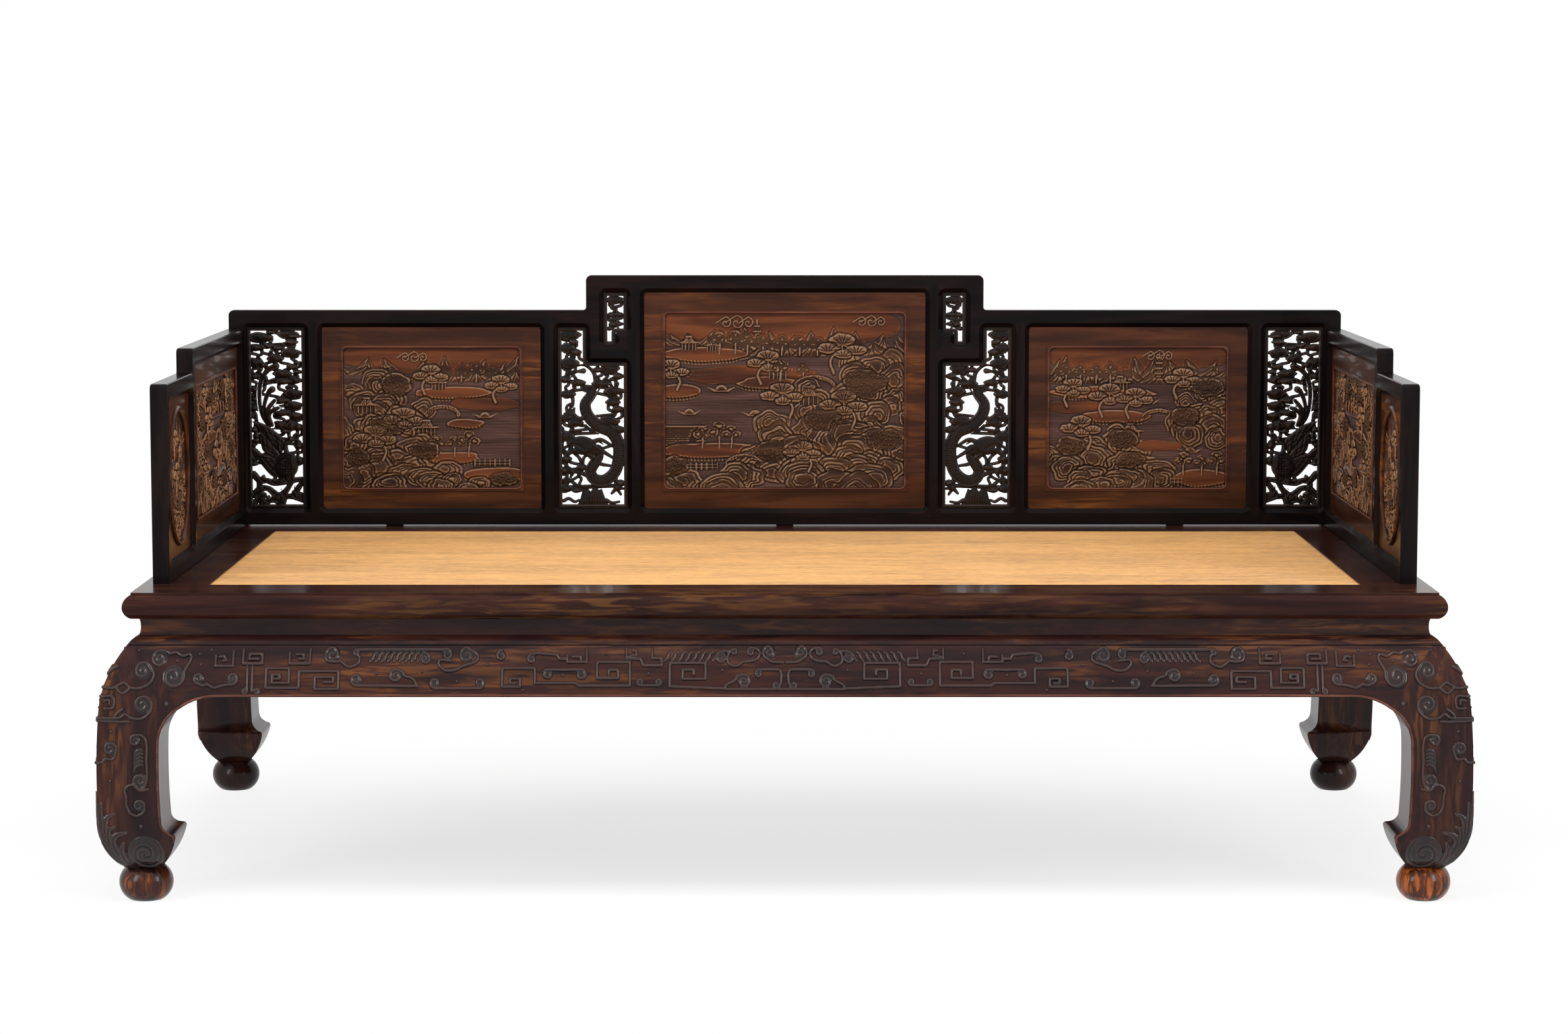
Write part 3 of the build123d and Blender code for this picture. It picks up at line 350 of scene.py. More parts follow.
@dataclass(frozen=True)
class LandscapeFinish:
    """The rubbed wood of a carved view: water, rock and bare shore in three tones."""

    # The crest colour and its share: partly rubbed wear, partly painted highlight.
    rubbed: Colour
    amount: float
    water: tuple[Colour, Colour] = ((0.036, 0.017, 0.014), (0.082, 0.043, 0.036))
    rock: tuple[Colour, Colour] = ((0.022, 0.009, 0.005), (0.058, 0.026, 0.012))
    shore: tuple[Colour, Colour] = ((0.045, 0.014, 0.007), (0.130, 0.040, 0.014))

    def material(self, name: str, leaves: bool, grain: Grain) -> None:
        """Makes the finish for a view or for its leaves.

        Args:
            name: The material's name.
            leaves: Whether it is for the leaves, which have no tones of their own.
            grain: The direction of the fibres.
        """
        _, graph, shader = new_material(name, Specular_IOR_Level=0.08, Coat_Weight=0.12, Coat_Roughness=0.12)
        turned = graph.stretch(graph.place(), turn=grain.value)
        # Leaves have no crest values: each takes a fixed small share of the painted highlight colour.
        tint, crest = (1.0, 0.62) if leaves else (graph.read("tint"), graph.read("crest"))
        to_rock, to_shore = graph.spread(tint, 0.2, 0.9), graph.spread(tint, 1.1, 1.9)
        tones = [graph.mix(to_shore, graph.mix(to_rock, self.water[i], self.rock[i]), self.shore[i]) for i in (0, 1)]
        wood = graph.add("hardwood grain", {
            "Vector": turned, "Dark": tones[0], "Light": tones[1], "Figure": tones[1], "Figure Amount": 0.3,
            "Figure Size": 14.0, "Pores": 0.45, "Roughness": 0.33, "Sheen Spread": 0.15}).outputs
        # Crests lighten as rubbed wear and painted highlight; hollows darken as painted shade.
        worn = graph.add("edge wear", {"Color": wood["Color"], "Crest": crest, "Rubbed": self.rubbed,
                                       "Amount": self.amount, "Hollow": 0.75, "Roughness": wood["Roughness"]}).outputs
        ripples = graph.add("ShaderNodeTexWave", {
            "Vector": graph.stretch(turned, (0.10, 0.6, 1.0)), "Scale": 62.0, "Distortion": 5.0, "Detail": 2.0},
            bands_direction="Z").outputs["Fac"]
        cut = graph.times(ripples, graph.maths("SUBTRACT", 1.0, to_rock, clamp=True))
        height = graph.plus(graph.times(wood["Height"], 0.3), cut)
        graph.feed(shader, {"Base Color": worn["Color"], "Roughness": worn["Roughness"],
                            "Normal": graph.bump(height, 0.35, 0.0008)})


def cover(node: str, material: Material) -> None:
    """Lays a material on a CAD node.

    Args:
        node: The node's name.
        material: The material.
    """
    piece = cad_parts[node]
    if not piece.data.materials:
        piece.data.materials.append(material)
    for slot in piece.material_slots:
        slot.material = material


def mount(piece: Piece, body: str, material: Material | None = None) -> Piece:
    """Gives a piece its body and its finish, and reports it.

    Args:
        piece: The piece.
        body: The body that it rides on.
        material: Its material, where it has none yet.

    Returns:
        The piece.
    """
    if material:
        piece.data.materials.append(material)
    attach(piece, body)
    LOG.info("%s: %d faces", piece.name, len(piece.data.polygons))
    return piece


# ---- lines and carved surfaces

Spot = tuple[slice, slice]
Place = Callable[[np.ndarray, np.ndarray, np.ndarray], np.ndarray]


def table(text: str) -> list[list[Any]]:
    """Reads rows of words: numbers, names, and places with a comma between their two numbers.

    Args:
        text: The rows, with semicolons between them.

    Returns:
        The rows.
    """
    def read(word: str) -> Any:
        """Reads one word."""
        if "," in word:
            return tuple(read(part) for part in word.split(","))
        return word if word.isalpha() else float(word) if "." in word else int(word)
    return [[read(word) for word in row.split()] for row in text.split(";")]


def curve(points: Points, per_span: int = 6) -> np.ndarray:
    """Draws a smooth line through points.

    Args:
        points: Two or more places.
        per_span: How many steps from one place to the next.

    Returns:
        The line's points.
    """
    path = np.asarray(points, float)
    if len(path) < 3:
        return path
    ends = np.vstack([2 * path[0] - path[1], path, 2 * path[-1] - path[-2]])
    t = np.linspace(0, 1, per_span, endpoint=False)[:, None]
    spans = []
    for before, start, end, after in zip(ends, ends[1:], ends[2:], ends[3:]):
        spans.append(0.5 * (2 * start + (end - before) * t + (2 * before - 5 * start + 4 * end - after) * t ** 2
                            + (3 * start - before - 3 * end + after) * t ** 3))
    return np.vstack(spans + [path[-1:]])


def rounded(outline: Points, per_span: int = 3) -> np.ndarray:
    """Rounds a closed outline."""
    return curve(np.vstack([outline, outline[:1]]), per_span)[:-1]


def scroll(lead: Points, centre: Points, turns: float, eye: float = 1.2) -> np.ndarray:
    """Draws a line that ends in a spiral.

    Args:
        lead: The line's places up to the outside of the spiral.
        centre: The middle of the spiral.
        turns: How many turns it winds, anticlockwise if more than nought.
        eye: The radius at which it ends.

    Returns:
        The line's points.
    """
    arm = np.asarray(lead[-1], float) - centre
    t = np.linspace(0, 1, int(abs(turns) * 16) + 2)[1:, None]
    angle = math.atan2(arm[1], arm[0]) + t * turns * math.tau
    size = np.hypot(*arm) * (1 - t) + eye * t
    coil = np.asarray(centre) + size * np.hstack([np.cos(angle), np.sin(angle)])
    return np.vstack([curve(lead), coil])


def fade(value: np.ndarray) -> np.ndarray:
    """Eases a value from 0 to 1 and clamps it."""
    value = np.clip(value, 0, 1)
    return value * value * (3 - 2 * value)


def soften(height: np.ndarray) -> np.ndarray:
    """Averages each sample with its neighbours, one way and then the other."""
    for _ in (0, 1):
        padded = np.pad(height, ((1, 1), (0, 0)), "edge")
        height = ((padded[:-2] + 2 * height + padded[2:]) / 4).T
    return height


class Carving:
    """A carved surface being drawn: heights over a flat sheet, in millimetres."""

    def __init__(self, low: Points, high: Points, step: float, solid: bool = False, ground: float = 0.0) -> None:
        """Starts with a bare sheet.

        Args:
            low: Its lower left corner.
            high: Its upper right corner.
            step: The distance between samples.
            solid: Whether there is wood everywhere, or only where something is drawn.
            ground: The height of the bare sheet.
        """
        self.step, self.ground = step, ground
        self.u, self.v = (np.linspace(a, b, max(2, round((b - a) / step) + 1)) for a, b in zip(low, high))
        shape = (len(self.v), len(self.u))
        self.height = np.full(shape, ground)
        self.wood = np.full(shape, 9.0 if solid else -9.0)
        self.tint = np.zeros(shape)

    def turned(self, way: int, shift: float = 0.0) -> "Carving":
        """Copies the carving along the sheet.

        Args:
            way: -1 to mirror it, or 1.
            shift: How far it is moved first.

        Returns:
            The copy.
        """
        other = copy.copy(self)
        other.u = ((self.u + shift) * way)[::way]
        other.height, other.wood, other.tint = (value[:, ::way].copy() for value in (self.height, self.wood, self.tint))
        return other

    def doubled(self) -> "Carving":
        """Joins the carving to its mirror image on the right."""
        left, right = self.turned(1), self.turned(-1)
        left.u = np.concatenate([self.u, right.u[1:]])
        left.height, left.wood, left.tint = (np.hstack([mine, its[:, 1:]]) for mine, its in (
            (self.height, right.height), (self.wood, right.wood), (self.tint, right.tint)))
        return left

    def window(self, low: Points, high: Points) -> tuple[Spot, np.ndarray, np.ndarray]:
        """Finds the samples inside a box.

        Args:
            low: The box's lower left corner.
            high: Its upper right corner.

        Returns:
            The place of the samples, their u and their v.
        """
        i = slice(*np.searchsorted(self.u, (low[0], high[0])))
        j = slice(*np.searchsorted(self.v, (low[1], high[1])))
        return (j, i), self.u[None, i], self.v[j, None]

    @staticmethod
    def gaps(path: np.ndarray, u: np.ndarray, v: np.ndarray) -> tuple[np.ndarray, np.ndarray]:
        """Measures how far samples are from each span of a path.

        Args:
            path: The path.
            u: The samples' u.
            v: The samples' v.

        Returns:
            How far along each span its nearest place is, and the distance.
        """
        near, way = path[:-1, :, None, None], np.diff(path, axis=0)[:, :, None, None]
        along = ((u - near[:, 0]) * way[:, 0] + (v - near[:, 1]) * way[:, 1]) / np.maximum((way ** 2).sum(1), 1e-9)
        along = np.clip(along, 0, 1)
        return along, np.hypot(u - near[:, 0] - along * way[:, 0], v - near[:, 1] - along * way[:, 1])

    def stroke(self, path: Points, radius: Any, rise: float, lift: float | None = None, cut: bool = False,
               tint: float | None = None) -> None:
        """Lays a rounded band along a path, or cuts a groove.

        Args:
            path: The band's middle line.
            radius: Half its width, or its half width at each of a few equal steps.
            rise: How far it stands over the ground, or how deep it is cut.
            lift: The level that it stands on, where that isn't the ground.
            cut: Whether it is a groove.
            tint: The tint that it gets.
        """
        lift = self.ground if lift is None else lift
        path = np.asarray(path, float)
        given = np.atleast_1d(np.asarray(radius, float))
        sizes = np.interp(np.linspace(0, 1, len(path)), np.linspace(0, 1, len(given)), given)
        for start in range(0, len(path) - 1, 6):
            part, size = path[start:start + 7], sizes[start:start + 7]
            reach = size.max() + 2 * self.step
            spot, u, v = self.window(part.min(0) - reach, part.max(0) + reach)
            if not u.size or not v.size:
                continue
            along, gap = self.gaps(part, u, v)
            width = size[:-1, None, None] + along * np.diff(size)[:, None, None]
            dome = np.sqrt(np.clip(1 - (gap / width) ** 2, 0, 1)) * np.minimum(1, width / sizes.max())
            dome, depth = dome.max(0) * rise, (width - gap).max(0)
            if cut:
                self.height[spot] = np.minimum(self.height[spot], np.where(depth > 0, lift - dome, 1e3))
                continue
            self.height[spot] = np.maximum(self.height[spot], np.where(depth > 0, lift + dome, -1e3))
            self.wood[spot] = np.maximum(self.wood[spot], depth)
            if tint is not None:
                self.tint[spot] = np.where(depth > 0, tint, self.tint[spot])

    def groove(self, path: Points, radius: Any, deep: float, level: float) -> None:
        """Cuts a groove down from a level."""
        self.stroke(path, radius, deep, level, cut=True)

    def dot(self, u: float, v: float, radius: float, rise: float, lift: float | None = None) -> None:
        """Raises a round bead."""
        self.stroke([(u, v), (u + 0.01, v)], radius, rise, lift)

    def gap(self, path: Points, radius: float) -> tuple[Spot, np.ndarray]:
        """Measures how far samples are from a path.

        Args:
            path: The path.
            radius: How far from it samples are measured.

        Returns:
            The place of the samples and their distance.
        """
        path = np.asarray(path, float)
        spot, u, v = self.window(path.min(0) - radius, path.max(0) + radius)
        return spot, self.gaps(path, u, v)[1].min(0)

    def score(self, path: Points, radius: float, deep: float) -> None:
        """Cuts a groove into whatever is there."""
        spot, gap = self.gap(path, radius)
        self.height[spot] -= deep * fade(1 - gap / radius)

    def clear(self, path: Points, radius: float) -> None:
        """Saws the wood away along a path."""
        spot, gap = self.gap(path, radius + 2 * self.step)
        self.wood[spot] = np.minimum(self.wood[spot], gap - radius)

    def depth(self, outline: np.ndarray, margin: float) -> tuple[Spot, np.ndarray]:
        """Measures how far samples lie inside a closed outline.

        Args:
            outline: The outline's corners.
            margin: How far round it samples are measured.

        Returns:
            The place of the samples and their depth.
        """
        spot, u, v = self.window(outline.min(0) - margin, outline.max(0) + margin)
        best = np.full((v.shape[0], u.shape[1]), 1e6)
        inside = np.zeros(best.shape, bool)
        if best.size:
            for (u0, v0), (u1, v1) in zip(outline, np.roll(outline, -1, 0)):
                du, dv = u1 - u0, v1 - v0
                along = np.clip(((u - u0) * du + (v - v0) * dv) / max(du * du + dv * dv, 1e-9), 0, 1)
                best = np.minimum(best, (u - u0 - along * du) ** 2 + (v - v0 - along * dv) ** 2)
                if v0 != v1:
                    inside ^= ((v0 > v) != (v1 > v)) & (u < u0 + (v - v0) / (v1 - v0) * du)
        return spot, np.where(inside, 1, -1) * np.sqrt(best)

    def area(self, outline: Points, level: float, rise: float = 0.0, edge: float = 1.8, tint: float | None = None,
             pitch: float = 6.0, rings: float = 4.0, moat: float = 0.0) -> None:
        """Raises a closed area that swells towards its middle.

        Args:
            outline: The area's corners.
            level: Its height at the edge.
            rise: How much higher its middle is.
            edge: The width of its rounded edge.
            tint: The tint that it gets.
            pitch: The distance from ring to ring.
            rings: How many rings it rises over.
            moat: How deep the ground is cut round it.
        """
        spot, depth = self.depth(np.asarray(outline, float), 3 * edge)
        if not depth.size:
            return
        blend = fade(depth / edge + 0.5)
        self.height[spot] -= moat * fade(1 - np.abs(depth + 0.8 * edge) / (1.6 * edge))
        top = level + rise * fade(depth / (rings * pitch))
        self.height[spot] = self.height[spot] * (1 - blend) + top * blend
        self.wood[spot] = np.maximum(self.wood[spot], depth)
        if tint is not None:
            self.tint[spot] = self.tint[spot] * (1 - blend) + tint * blend


def grid(number: np.ndarray) -> tuple[np.ndarray, np.ndarray]:
    """Lists the four corners of each quad of a grid, and the loop round its edge."""
    quads = np.stack([number[:-1, :-1], number[:-1, 1:], number[1:, 1:], number[1:, :-1]], -1)
    return quads, np.concatenate([number[0, :-1], number[:-1, -1], number[-1, :0:-1], number[:0:-1, 0]])


def mesh_of(name: str, corners: np.ndarray, faces: list[list[int]], edges: list[tuple[int, int]] | None = None,
            **values: np.ndarray) -> Piece:
    """Makes one piece.

    Args:
        name: The piece's name.
        corners: Its points in metres.
        faces: Its faces.
        edges: Its loose edges.
        **values: A number at each point, for a material or a geometry tree to read.

    Returns:
        The piece.
    """
    mesh = bpy.data.meshes.new(name)
    mesh.from_pydata(corners.tolist(), edges or [], faces)
    for title, value in values.items():
        mesh.attributes.new(title, "FLOAT", "POINT").data.foreach_set("value", value.astype(np.float32))
    mesh.shade_smooth()
    piece = bpy.data.objects.new(name, mesh)
    bpy.context.collection.objects.link(piece)
    return piece


def shell(name: str, carving: Carving, place: Place, back: float, mirrored: bool = False, flip: bool = False) -> Piece:
    """Turns a carving into a closed piece of wood.

    Args:
        name: The piece's name.
        carving: The carving.
        place: Puts u, v and height into space, in millimetres.
        back: The height of its back.
        mirrored: Whether the back is carved like the front, the other way.
        flip: Whether place mirrors the carving.

    Returns:
        The piece.
    """
    wood, height, reach = carving.wood, carving.height, 0.6 * carving.step
    rows, columns = wood.shape
    u, v = np.meshgrid(carving.u, carving.v)
    kept = (wood[:-1, :-1] + wood[1:, :-1] + wood[:-1, 1:] + wood[1:, 1:]) > 0
    touching = np.zeros((rows, columns), int)
    for j in (0, 1):
        for i in (0, 1):
            touching[j:rows - 1 + j, i:columns - 1 + i] += kept
    slope_v, slope_u = np.gradient(wood, carving.v, carving.u)
    steep = np.maximum(slope_u ** 2 + slope_v ** 2, 0.2)
    rim = (touching > 0) & (touching < 4) & np.pad(np.ones((rows - 2, columns - 2), bool), 1)
    pull = np.where(rim, np.clip(wood, -carving.step, carving.step) / steep, 0)
    u = u - np.clip(pull * slope_u, -reach, reach)
    v = v - np.clip(pull * slope_v, -reach, reach)
    used = touching > 0
    count = int(used.sum())
    quads, loop = grid(np.cumsum(used.ravel()).reshape(rows, columns) - 1)
    padded = np.pad(kept, 1)
    faces = [quads[kept]]
    for side, beside in enumerate((padded[:-2, 1:-1], padded[1:-1, 2:], padded[2:, 1:-1], padded[1:-1, :-2])):
        edge = quads[kept & ~beside]
        low, high = edge[:, side], edge[:, (side + 1) % 4]
        faces.append(np.stack([high, low, low + count, high + count], -1))
    under = back - height if mirrored else np.full_like(height, back)
    corners = np.vstack([place(u[used], v[used], height[used]), place(u[used], v[used], under[used])]) * MM
    extra = []
    if mirrored or not kept.all():
        faces.insert(1, faces[0][:, ::-1] + count)
    else:
        extra = [(loop[::-1] + count).tolist()]
    listed = np.vstack(faces).tolist() + extra
    # crest: how far each sample stands above its softened surroundings; materials paint highlight where it is high and
    # shade where it is low.
    hollow = soften(soften(soften(soften(height)))) - height
    tint, crest = (np.tile(value[used], 2) for value in (carving.tint, np.clip(0.5 - hollow, 0, 1)))
    piece = mesh_of(name, corners, [row[::-1] for row in listed] if flip else listed, tint=tint, crest=crest)
    mesh = bmesh.new()
    mesh.from_mesh(piece.data)
    bmesh.ops.delete(mesh, geom=[vert for vert in mesh.verts if not vert.link_faces], context="VERTS")
    mesh.to_mesh(piece.data)
    mesh.free()
    return piece


def flat_face(axis: int, level: float, sign: float) -> Place:
    """Makes the placing for a carving on an upright face.

    Args:
        axis: 0 for a face that looks along X, 1 for one that looks along Y.
        level: Where the face is along that axis, in millimetres.
        sign: Which way it faces.

    Returns:
        The placing.
    """
    def place(u: np.ndarray, v: np.ndarray, height: np.ndarray) -> np.ndarray:
        """Puts the samples on the face."""
        return upright(axis, level + sign * height, u, v)
    return place


def upright(axis: int, out: Any, u: np.ndarray, v: np.ndarray) -> np.ndarray:
    """Puts u and v along a side that looks along an axis, and out along the axis."""
    return np.stack([out, u, v] if axis == 0 else [u, out, v], -1)


class BulgedFace:
    """The swelling outer face that a leg shares with its aprons."""

    def __init__(self) -> None:
        """Reads the face's outline from a front leg."""
        points = np.array([corner.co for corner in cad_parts["leg_front_left"].data.vertices]) / MM
        outer = points[points[:, 1] < -SEAT_HALF_DEPTH]
        self.levels = np.unique(np.round(outer[:, 2], 1))
        self.out = np.array([-SEAT_HALF_DEPTH - outer[np.abs(outer[:, 2] - z) < 0.06][:, 1].min() for z in self.levels])
        self.fine = np.arange(self.levels[0], self.levels[-1] + 0.5, 1.0)
        rise = np.gradient(np.pad(self.bulge(self.fine), 6, "edge"), 1.0)
        self.slope = np.convolve(rise, np.ones(9) / 9, "same")[6:-6]

    def bulge(self, level: np.ndarray) -> np.ndarray:
        """Says how far the face stands outside the seat's edge line at a level."""
        return np.interp(level, self.levels, self.out)

    def on(self, axis: int, sign: float) -> Place:
        """Makes the placing for one of the four sides.

        Args:
            axis: 0 for the ends of the bed, 1 for its front and back.
            sign: Which way the side faces.

        Returns:
            The placing.
        """
        half = (SEAT_HALF_LENGTH, SEAT_HALF_DEPTH)[axis]

        def place(u: np.ndarray, v: np.ndarray, height: np.ndarray) -> np.ndarray:
            """Puts the samples on the side."""
            slope = np.interp(v, self.fine, self.slope)
            length = np.sqrt(1 + slope ** 2)
            return upright(axis, sign * (half + self.bulge(v) + height / length), u, v - height * slope / length)
        return place


# ---- the woven seat


@dataclass(frozen=True)
class WovenFinish:
    """Split cane in a fine twill."""

    name: str
    strand: float
    dark: Colour
    light: Colour
    roughness: float

    def material(self) -> Material:
        """Makes the finish."""
        material, graph, shader = new_material(self.name, Roughness=self.roughness, Sheen_Weight=0.15)
        weave = graph.add("cane weave", {"Vector": graph.place(), "Strand": self.strand, "Dark": self.dark,
                                         "Light": self.light, "Streaks": 0.8}).outputs
        graph.feed(shader, {"Base Color": weave["Color"], "Normal": graph.bump(weave["Height"], 0.9, 0.0006)})
        return material


CANE = WovenFinish("golden split cane", 0.0036, (0.26, 0.105, 0.026), (0.88, 0.46, 0.125), 0.55)


@dataclass
class CaneMat:
    """The stretched mat of split cane, which lies on the webbing."""

    half_length: float = 0.985
    half_width: float = 0.456
    top: float = 0.502
    thickness: float = 0.0014
    sag: float = 0.0007
    rows: int = 40

    def build(self) -> None:
        """Weaves the mat."""
        x, y = np.meshgrid(np.linspace(-1, 1, 2 * self.rows + 1), np.linspace(-1, 1, self.rows + 1))
        droop = -self.sag * (1 - x ** 4) * (1 - y ** 4)
        upper = np.stack([x * self.half_length, y * self.half_width, self.top + droop], -1).reshape(-1, 3)
        quads, loop = grid(np.arange(x.size).reshape(x.shape))
        top, after = quads.reshape(-1, 4), np.roll(loop, -1)
        walls = np.stack([after, loop, loop + x.size, after + x.size], -1)
        mat = mesh_of("woven_cane_mat", np.vstack([upper, upper - (0, 0, self.thickness)]),
                      np.vstack([top, top[:, ::-1] + x.size, walls]).tolist())
        mount(mat, "bed_base", CANE.material())
        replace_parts(mat, "cane_mat")


# ---- carving on the aprons and legs

SEAT_HALF_LENGTH, SEAT_HALF_DEPTH = 1059.0, 530.0

# Each scroll: the line that leads in, the spiral's middle and its turns. X and Z in millimetres, on the front's left
# half.
APRON_SCROLLS = table("""
-994,408 -999,411 -1010,413 -1010,400 1.6;
-994,408 -983,409.5 -973,404.5 -961,407 -959,400 -965,388.5 -969,380.5 -986,373.5 -1.6;
-931,361.5 -939,359.5 -945,361.5 -945,370.5 -1.4; -931,361.5 -920,356 -906,359.5 -891,361 -891,370.5 1.4;
-867,354.5 -867,351 -870,353.5 -870,349 1.2; -859,354.5 -859,351 -851,353.5 -851,349 -1.2;
-718,397 -727,395.5 -739,397 -731,406.5 -1.7; -718,397 -704,388 -690,392.5 -687,401.5 -690,405.5 -694,409 1;
-542,413.5 -681,413.5 -691,413.5 -693,409 .9; -681,414 -566,414 -546,414.5 -546,406.5 -1.3;
-540,397 -556,398 -559,392.5 -549,383 -533,383 -519,389.5 -499,396 -497,406.5 -514,417.5 -514,405.5 1.3;
-592,358.5 -658,359 -690,359 -691,368.5 -1.5; -592,358.5 -600,369.5 -613,374 -616,379.5 -627,384 -628,374 1.6;
-531,355 -554,355 -564,355 -564,363 -1.5; -531,355 -496,355 -491,355.5 -492,363 1.5;
-358,383 -376,383.5 -385,383.5 -382,376.5 1.2; -358,383 -335,383.5 -325,383 -329,376 -1.2;
-367,406 -385,407.5 -399,408.5 -409,407 -409,400 1.3; -218,359.5 -231,359.5 -233,364.5 -1.4;
-218,359.5 -205,359.5 -204,364.5 1.4; -90,411.5 -97,411.5 -103,410.5 -103,403.5 1.4;
-68,395.5 -78,389.5 -89,392 -93,400 -89,410.5 -81,415 -82,410.5 -1.2;
-68,395.5 -49,398 -41,405.5 -43,413.5 -55,416.5 -55,410.5 1.4; -3,394.5 -20,395.5 -28,400 -26,410.5 -1.5;
-97,353.5 -94,360 -81,367 -77,373.5 -66,376 -66,365.5 -1.7; -11,384 -34,384 -42,383.5 -42,377.5 1.3;
-11,384 -6,380 -6,365.5 -8,360 -14,360 -1.3; -458,413 -463,411 -465,404.5 -458,405.5 1""")
APRON_KEYS = table("""
-919,405 -919,389 -891,389 -891,411.5; -913,403 -905,404 -902,397.5 -908,397;
-875,414 -875,393 -844,393 -844,407 -865,407 -865,399.5 -851,399.5; -867,387.5 -867,350; -859,387.5 -859,350;
-824,369.5 -815,369.5 -815,376 -827,376 -827,363 -800,363 -800,385.5 -837,385.5 -837,355.5 -784,355.5 -784,381
-720,381 -720,354 -758,354 -758,372 -728,372 -728,364.5 -743,364.5; -800,409 -800,393 -767,393 -767,415;
-789,406.5 -777,406.5 -777,400 -785,400;
-434,363 -443,363 -443,369.5 -427,369.5 -427,357.5 -456,357.5 -456,385.5 -403,385.5 -403,363 -338,363 -332,359
-250,359 -250,395 -303,395 -303,370.5 -269,370.5 -269,383 -284,383 -284,376; -368,406 -364,400 -351,400;
-351,405 -351,395 -320,395 -320,415; -342,403 -329,403 -329,399; -246,412 -240,412 -240,406 -256,401.5 -256,415.5;
-256,400.5 -233,400 -228,390 -199,390 -199,400.5 -214,400.5 -214,414.5;
-98,354.5 -186,358 -186,393.5 -128,393.5 -128,369.5 -165,369.5 -165,383.5 -147,383.5 -147,376; -97,353.5 0,353.5""")
APRON_DOTS = table("""
-981,397 -946,407 -943,391.5 -659,378 -585,381 -529,365.5 -480,391.5 -358,375.5 -289,408 -220,377.5 -101,383
-927,413.5 -422,352""")[0]
# Each row of plumes: its first and last place along X, its top and its number of strokes.
APRON_PLUMES = ((-666, -589, 410, 9), (-190, -112, 411, 8))
LEG_SCROLLS = table("""
-1100,357 -1083,355.5 -1066,363.5 -1055,356 -1038,355.5 -1022,364.5 -1018,378 -1024,389.5 -1036,382 1.5;
-1108,308 -1074,308 -1063,314 -1053,308 -1036,307 -1022,318 -1020,328.5 -1035,329.5 1.5;
-1112,235.5 -1101,236 -1095,242 -1083,241.5 -1077,256 -1088,258 1.6;
-1029,238.5 -1029,267.5 -1036,279.5 -1047,280.5 -1047,271.5 1.5;
-1029,238.5 -1029,207.5 -1035,194 -1044,192.5 -1048,197 -1040,206 -1.3;
-1028,192 -1041,190.5 -1049,198 -1057,199 -1065,191.5 -1063,180 -1062,163.5 -1056,152.5 -1044,149 -1034,157.5
-1034,168 -1043,165 1.2""")
LEG_CURVES = table("""
-1108,304 -1081,302 -1057,302; -1100,342 -1083,342 -1082,324.5 -1096,323.5; -1096,335.5 -1089,336.5 -1088,329.5;
-1078,355.5 -1068,347 -1057,353.5; -1067,322 -1075,316 -1079,311.5; -1093,378 -1086,383.5 -1077,389""")
HOOF_FEATHERS = table("""
-1113,187 -1112,150 -1107,115 -1087,76.5 -1064,58; -1104,169 -1105,141.5 -1100,114 -1083,78 -1063,59;
-1084,151 -1095,144.5 -1099,127.5 -1094,105.5 -1081,80.5 -1060,59;
-1084,129.5 -1093,123.5 -1093,108.5 -1083,87.5 -1070,68 -1057,58;
-1065,120 -1079,116.5 -1087,107 -1082,90.5 -1068,69.5 -1055,58; -1070,101.5 -1074,91.5 -1072,79 -1064,67 -1052,58""")
LEG_DOTS = ((-1044, 412.5, 2.4), (-996, 330.5, 4.2), (-1085, 286, 3), (-1088, 205.5, 3), (-1040, 131, 3.6))


